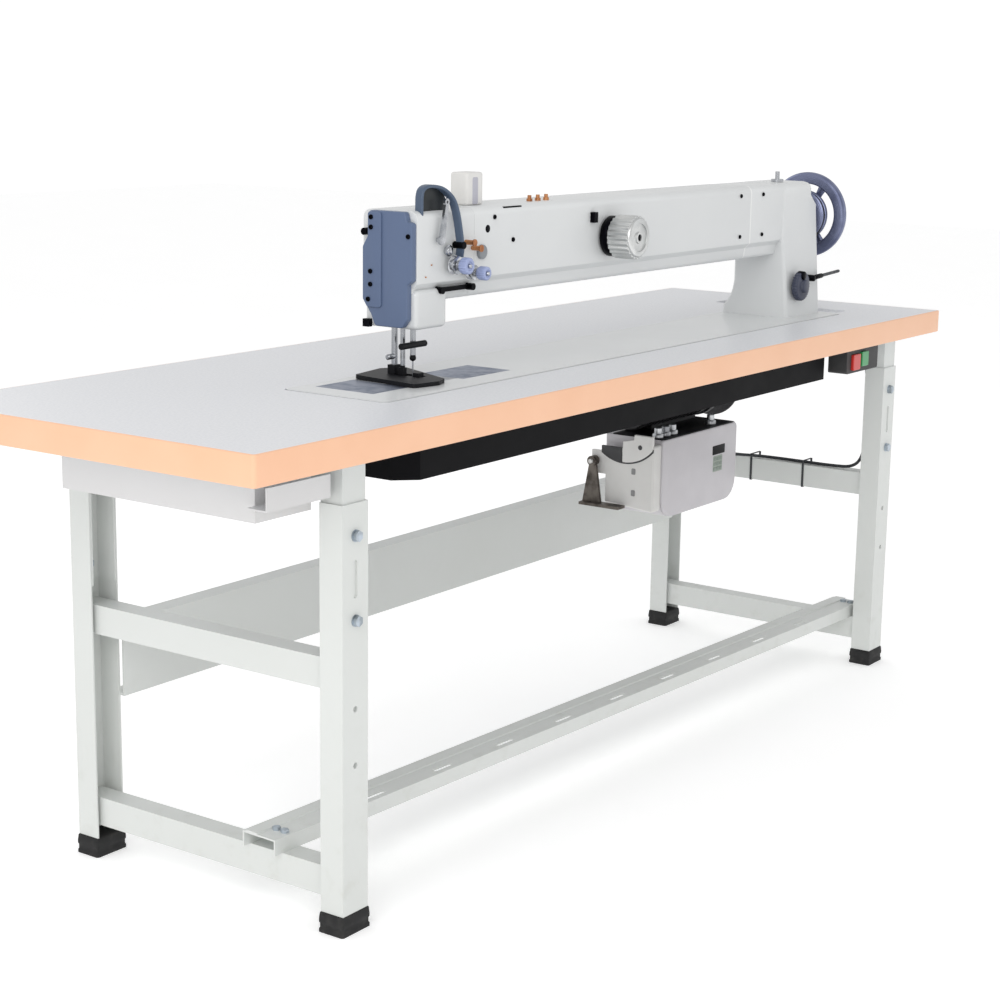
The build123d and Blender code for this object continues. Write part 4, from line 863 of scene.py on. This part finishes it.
pretension_outline = (
    (0.0, 0.0), (0.0, 0.0042), (0.0015, 0.006), (0.0025, 0.0062), (0.003, 0.0082),
    (0.0042, 0.0082), (0.005, 0.006), (0.009, 0.0058), (0.009, 0.0),
)
pretension = turned("pretension_disc", pretension_outline, (-0.367, -0.129, 0.864), "Y", chrome, turns=48)
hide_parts("tension_block")
grey_button = moulded("button_grey", tint(150, 154, 158), tint(128, 132, 138), 0.4)
button_outline = (
    (0.0, 0.0), (0.0, 0.0085), (0.0006, 0.0098), (0.0014, 0.0104), (0.005, 0.0104), (0.005, 0.0),
)
button = turned("arm_button", button_outline, (-0.284, -0.125, 0.857), "Y", grey_button, turns=48)
plug_outline = ((0.0, 0.0), (0.0, 0.0048), (0.0004, 0.0056), (0.004, 0.0056), (0.004, 0.0))
plug = turned("arm_hole_plug", plug_outline, (-0.268, -0.1206, 0.889), "Y", oxide, turns=32)
for piece in (button, plug):
    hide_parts("tension_block")
dress(oxide, "tension_levers")

# ---- Thread guides, box and winder ----
# Brass posts with turned collars, a tall white moulded box on the arm and a small winder on
# the column.

brass = plated("brass_polish", tint(206, 148, 104), tint(160, 104, 70), 0.26)
dress(brass, "thread_guides")
box_low, box_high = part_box("thread_box")
box_outline = panel((box_low[0], box_low[1]), (box_high[0], box_high[1]), 0.006)
box_body = slab("thread_box_shell", box_outline, "Z", box_low[2], box_high[2], 0.004, cover_white)
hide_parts("thread_box")
box_groove = moulded("thread_box_groove", tint(186, 186, 196), tint(174, 174, 185), 0.5)
groove_outline = panel((-0.2720, 0.9225), (-0.2590, 0.9610), 0.003)
groove_ends = (box_low[1] - 0.0004, box_low[1] + 0.0010)
groove = slab("thread_box_recess", groove_outline, "Y", *groove_ends, 0.0003, box_groove)
arm_slot_outline = panel((-0.2260, 0.9158), (-0.1800, 0.9184), 0.0010)
arm_slot = slab("arm_top_slot", arm_slot_outline, "Y", -0.1174, -0.1120, 0.0004, oxide)

# ---- Auxiliary wheel ----
# Turned aluminium knob with broad flutes for gripping, a face ringed by fine tool marks
# and a dark flange behind it.


def lathe_marks(name, bright, dull, roughness, axis, centre, metallic=1.0, pitch=2600.0):
    """Turned metal: rings of fine tool marks, from the distance to the turning axis."""
    metal = Finish(name, Metallic=metallic)
    offset = metal.node("VectorMath", {"operation": "SUBTRACT"}, {0: metal.place, 1: centre})
    keep = [0.0 if letter == axis else 1.0 for letter in "XYZ"]
    flat = metal.node("VectorMath", {"operation": "MULTIPLY"}, {0: offset, 1: keep})
    reach = metal.node("VectorMath", {"operation": "LENGTH"}, {0: flat}, "Value")
    marks = metal.maths("SINE", reach * pitch + metal.noise(60.0) * 3.0)
    worn = metal.ramp(metal.noise(30.0, 5.0), 0.4, 0.7)
    metal.set(Base_Color=metal.mix(worn * 0.6 + marks * 0.12 + 0.12, bright, dull))
    metal.set(Roughness=roughness + marks * 0.05 + worn * 0.1)
    metal.bump(marks, 0.00005, 0.6)
    return metal


aux_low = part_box("aux_wheel")[0]
aux_centre = (0.055, aux_low[1], 0.861)
aluminium = lathe_marks("turned_aluminium", tint(222, 223, 222), tint(190, 192, 192), 0.28, "Y", aux_centre)
core_outline = (
    (0.003, 0.0), (0.003, 0.005), (0.0, 0.0055), (0.0, 0.009), (0.0022, 0.0095), (0.0022, 0.0215),
    (0.0, 0.022), (0.0, 0.0275), (0.0008, 0.0292), (0.0026, 0.0305), (0.040, 0.0305),
    (0.0425, 0.029), (0.043, 0.0),
)
knob_core = turned("aux_wheel_core", core_outline, aux_centre, "Y", aluminium, "aux_wheel", 96)
rib_outline = (
    (0.003, 0.0300), (0.0035, 0.0322), (0.006, 0.0328), (0.037, 0.0328), (0.0395, 0.0322), (0.040, 0.0300),
)
FLUTES = (24, 0.038)
ribs = turned("aux_wheel_ribs", rib_outline, aux_centre, "Y", aluminium, "aux_wheel", 240, FLUTES, ring=True)
flange_outline = (
    (0.0425, 0.0), (0.0425, 0.0305), (0.044, 0.0315), (0.0535, 0.0315),
    (0.055, 0.030), (0.0555, 0.012), (0.0585, 0.011), (0.0585, 0.0),
)
flange = turned("aux_wheel_flange", flange_outline, aux_centre, "Y", oxide, "aux_wheel", 72)
bore_outline = ((0.0018, 0.0), (0.0018, 0.0046), (0.0035, 0.0046), (0.0035, 0.0))
bore = turned("aux_wheel_bore", bore_outline, aux_centre, "Y", oxide, "aux_wheel", 32)
for piece in (knob_core, ribs, flange, bore):
    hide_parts("aux_wheel")

# ---- Handwheel ----
# Heavy dark wheel: a turned rim with rounded edges on three spokes, in one piece with the
# grooved belt pulley and its hub.

wheel_low, wheel_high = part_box("handwheel")
wheel_centre = (0.0, (wheel_low[1] + wheel_high[1]) / 2, (wheel_low[2] + wheel_high[2]) / 2)
wheel_dark = lathe_marks(
    "handwheel_dark", tint(128, 134, 162), tint(92, 98, 126), 0.3, "X", wheel_centre, 0.8, 2200.0
)
rim_outline = panel((0.814, 0.0572), (0.832, 0.0788), (0.004, 0.004, 0.0075, 0.0075))
rim = turned("handwheel_rim", rim_outline, wheel_centre, "X", wheel_dark, "main_shaft", 128, ring=True)
hub_outline = (
    (0.782, 0.0094), (0.782, 0.017), (0.784, 0.018), (0.7955, 0.018), (0.7965, 0.044), (0.7982, 0.0458),
    (0.7998, 0.0445), (0.8005, 0.0382), (0.8075, 0.0382), (0.8082, 0.0445), (0.8095, 0.0458),
    (0.8145, 0.0458), (0.816, 0.0445), (0.8165, 0.024), (0.836, 0.018), (0.838, 0.016), (0.838, 0.0094),
)
hub = turned("handwheel_hub", hub_outline, wheel_centre, "X", wheel_dark, "main_shaft", 96, ring=True)
SPOKE_X = 0.823
SPOKE_FLATNESS = 0.55
reach = np.linspace(0.016, 0.0605, 12)
waist = 0.0065 + 0.0025 * ((reach - 0.038) / 0.022) ** 2
sweep = circle_of(20) * (SPOKE_FLATNESS, 1.0)
spoke_root = np.array(wheel_centre) + np.array((SPOKE_X, 0, 0))
spokes = []
for third in range(3):
    angle = third * 2.0 * np.pi / 3.0
    outward = np.array((0.0, np.cos(angle), np.sin(angle)))
    across = np.cross(outward, AXES["X"])
    oval = sweep[:, :1] * AXES["X"] + sweep[:, 1:] * across
    grid = spoke_root + reach[:, None, None] * outward + waist[:, None, None] * oval
    spokes.append(skin(f"handwheel_spoke_{third}", grid, wheel_dark, "main_shaft"))
for piece in (rim, hub, *spokes):
    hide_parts("handwheel")

# ---- Stitch dial and reverse lever ----
# Fluted navy dial with a raised centre boss and a black knob above it for the stitch length,
# and a slim steel lever with a dark sleeve that is pressed down to sew backwards.

dial_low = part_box("stitch_dial")[0]
dial_centre = (0.671, dial_low[1], 0.737)
dial_dark = moulded("stitch_dial_dark", tint(60, 66, 88), tint(40, 45, 64), 0.34, 0.00003, 0.2)
dial_outline = (
    (0.0, 0.0), (0.0, 0.0095), (0.001, 0.0112), (0.0055, 0.0118), (0.0062, 0.0125), (0.0062, 0.022),
    (0.007, 0.0248), (0.009, 0.0262), (0.0165, 0.0262), (0.018, 0.0245), (0.018, 0.006),
    (0.036, 0.006), (0.036, 0.0),
)
DIAL_FLUTES = (30, 0.022)
dial = turned("stitch_dial_wheel", dial_outline, dial_centre, "Y", dial_dark, "stitch_dial", 180, DIAL_FLUTES)
knob_outline = (
    (0.0, 0.0), (0.0, 0.006), (0.0012, 0.0075), (0.011, 0.0080), (0.0125, 0.0075), (0.0135, 0.0),
)
knob_place = (0.668, dial_low[1] + 0.003, 0.7565)
knob = turned("stitch_knob", knob_outline, knob_place, "Y", oxide, "stitch_dial", 48)
for piece in (dial, knob):
    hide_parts("stitch_dial")
lever_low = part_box("reverse_lever")[0]
ROD_SLOPE = 0.05
LEVER_PIVOT_X = 0.716
LEVER_PIVOT_Z = 0.748
rod_angle = np.arctan(ROD_SLOPE)
rod_way = np.array((np.cos(rod_angle), 0.0, np.sin(rod_angle)))
rod_start = np.array((LEVER_PIVOT_X, -0.144, LEVER_PIVOT_Z))
rod_section = circle_of(28)


def straight_rod(name, stations, finish, body):
    """Round rod along the lever's line: each (distance, radius) station is a circle square to it."""
    distance, radius = np.array(stations).T
    over = np.array((-rod_way[2], 0.0, rod_way[0]))
    ring = rod_section[:, :1] * AXES["Y"] + rod_section[:, 1:] * over
    grid = rod_start + distance[:, None, None] * rod_way + radius[:, None, None] * ring
    return skin(name, grid, finish, body)


lever_steel = plated("lever_dull_steel", tint(104, 106, 108), tint(72, 74, 78), 0.4)
rod_stations = ((0.0, 0.003), (0.107, 0.003), (0.1095, 0.0024), (0.1105, 0.001))
rod = straight_rod("reverse_lever_rod", rod_stations, lever_steel, "reverse_lever")
sleeve_stations = ((0.007, 0.0034), (0.009, 0.0044), (0.038, 0.0044), (0.041, 0.0034))
sleeve = straight_rod("reverse_lever_sleeve", sleeve_stations, oxide, "reverse_lever")
lever_hub_outline = (
    (0.0, 0.0), (0.0, 0.0046), (0.0012, 0.0057), (0.010, 0.0059), (0.0295, 0.0059), (0.0295, 0.0),
)
lever_pivot = (LEVER_PIVOT_X, lever_low[1], LEVER_PIVOT_Z)
lever_hub = turned("reverse_lever_hub", lever_hub_outline, lever_pivot, "Y", oxide, "reverse_lever", 48)
for piece in (rod, sleeve, lever_hub):
    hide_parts("reverse_lever")

# ---- Needle bar and feet ----
# Ground bars carry blackened fittings: the ball and the clamp rod on the needle bar, and the
# collar and sole below each foot's bar.


def bar_and_black(name, test):
    """Ground steel where test gives 0 and black oxide where it gives 1."""
    metal = Finish(name, Specular_IOR_Level=0.2)
    black = test(metal)
    grain = metal.noise(900.0, 2.0, metal.stretch(1.0, 1.0, 0.1))
    metal.set(Base_Color=metal.mix(black, tint(170, 172, 176), tint(16, 17, 21)))
    metal.set(Metallic=1.0 - black, Roughness=0.2 + black * 0.25 + grain * 0.06)
    metal.bump(grain, 0.00003, 0.5)
    return metal



SOFT_STEP = 0.0002


def between(metal, low, high):
    """1 between two heights, 0 outside them, with a soft step at each."""
    above = metal.ramp(metal.axis("Z"), low, low + SOFT_STEP)
    return above * (1.0 - metal.ramp(metal.axis("Z"), high - SOFT_STEP, high))


FOOT_COLLAR_TOP = 0.7002
BALL = (0.7075, 0.7168)
CLAMP_ROD = (0.7274, 0.7366)
feet_finish = bar_and_black("feet_and_bars", lambda metal: between(metal, 0.0, FOOT_COLLAR_TOP))
dress(feet_finish, "walking_foot", "presser_foot")
needle_finish = bar_and_black(
    "needle_bar_and_clamp", lambda metal: between(metal, *BALL) + between(metal, *CLAMP_ROD)
)
dress(needle_finish, "needle_bar")
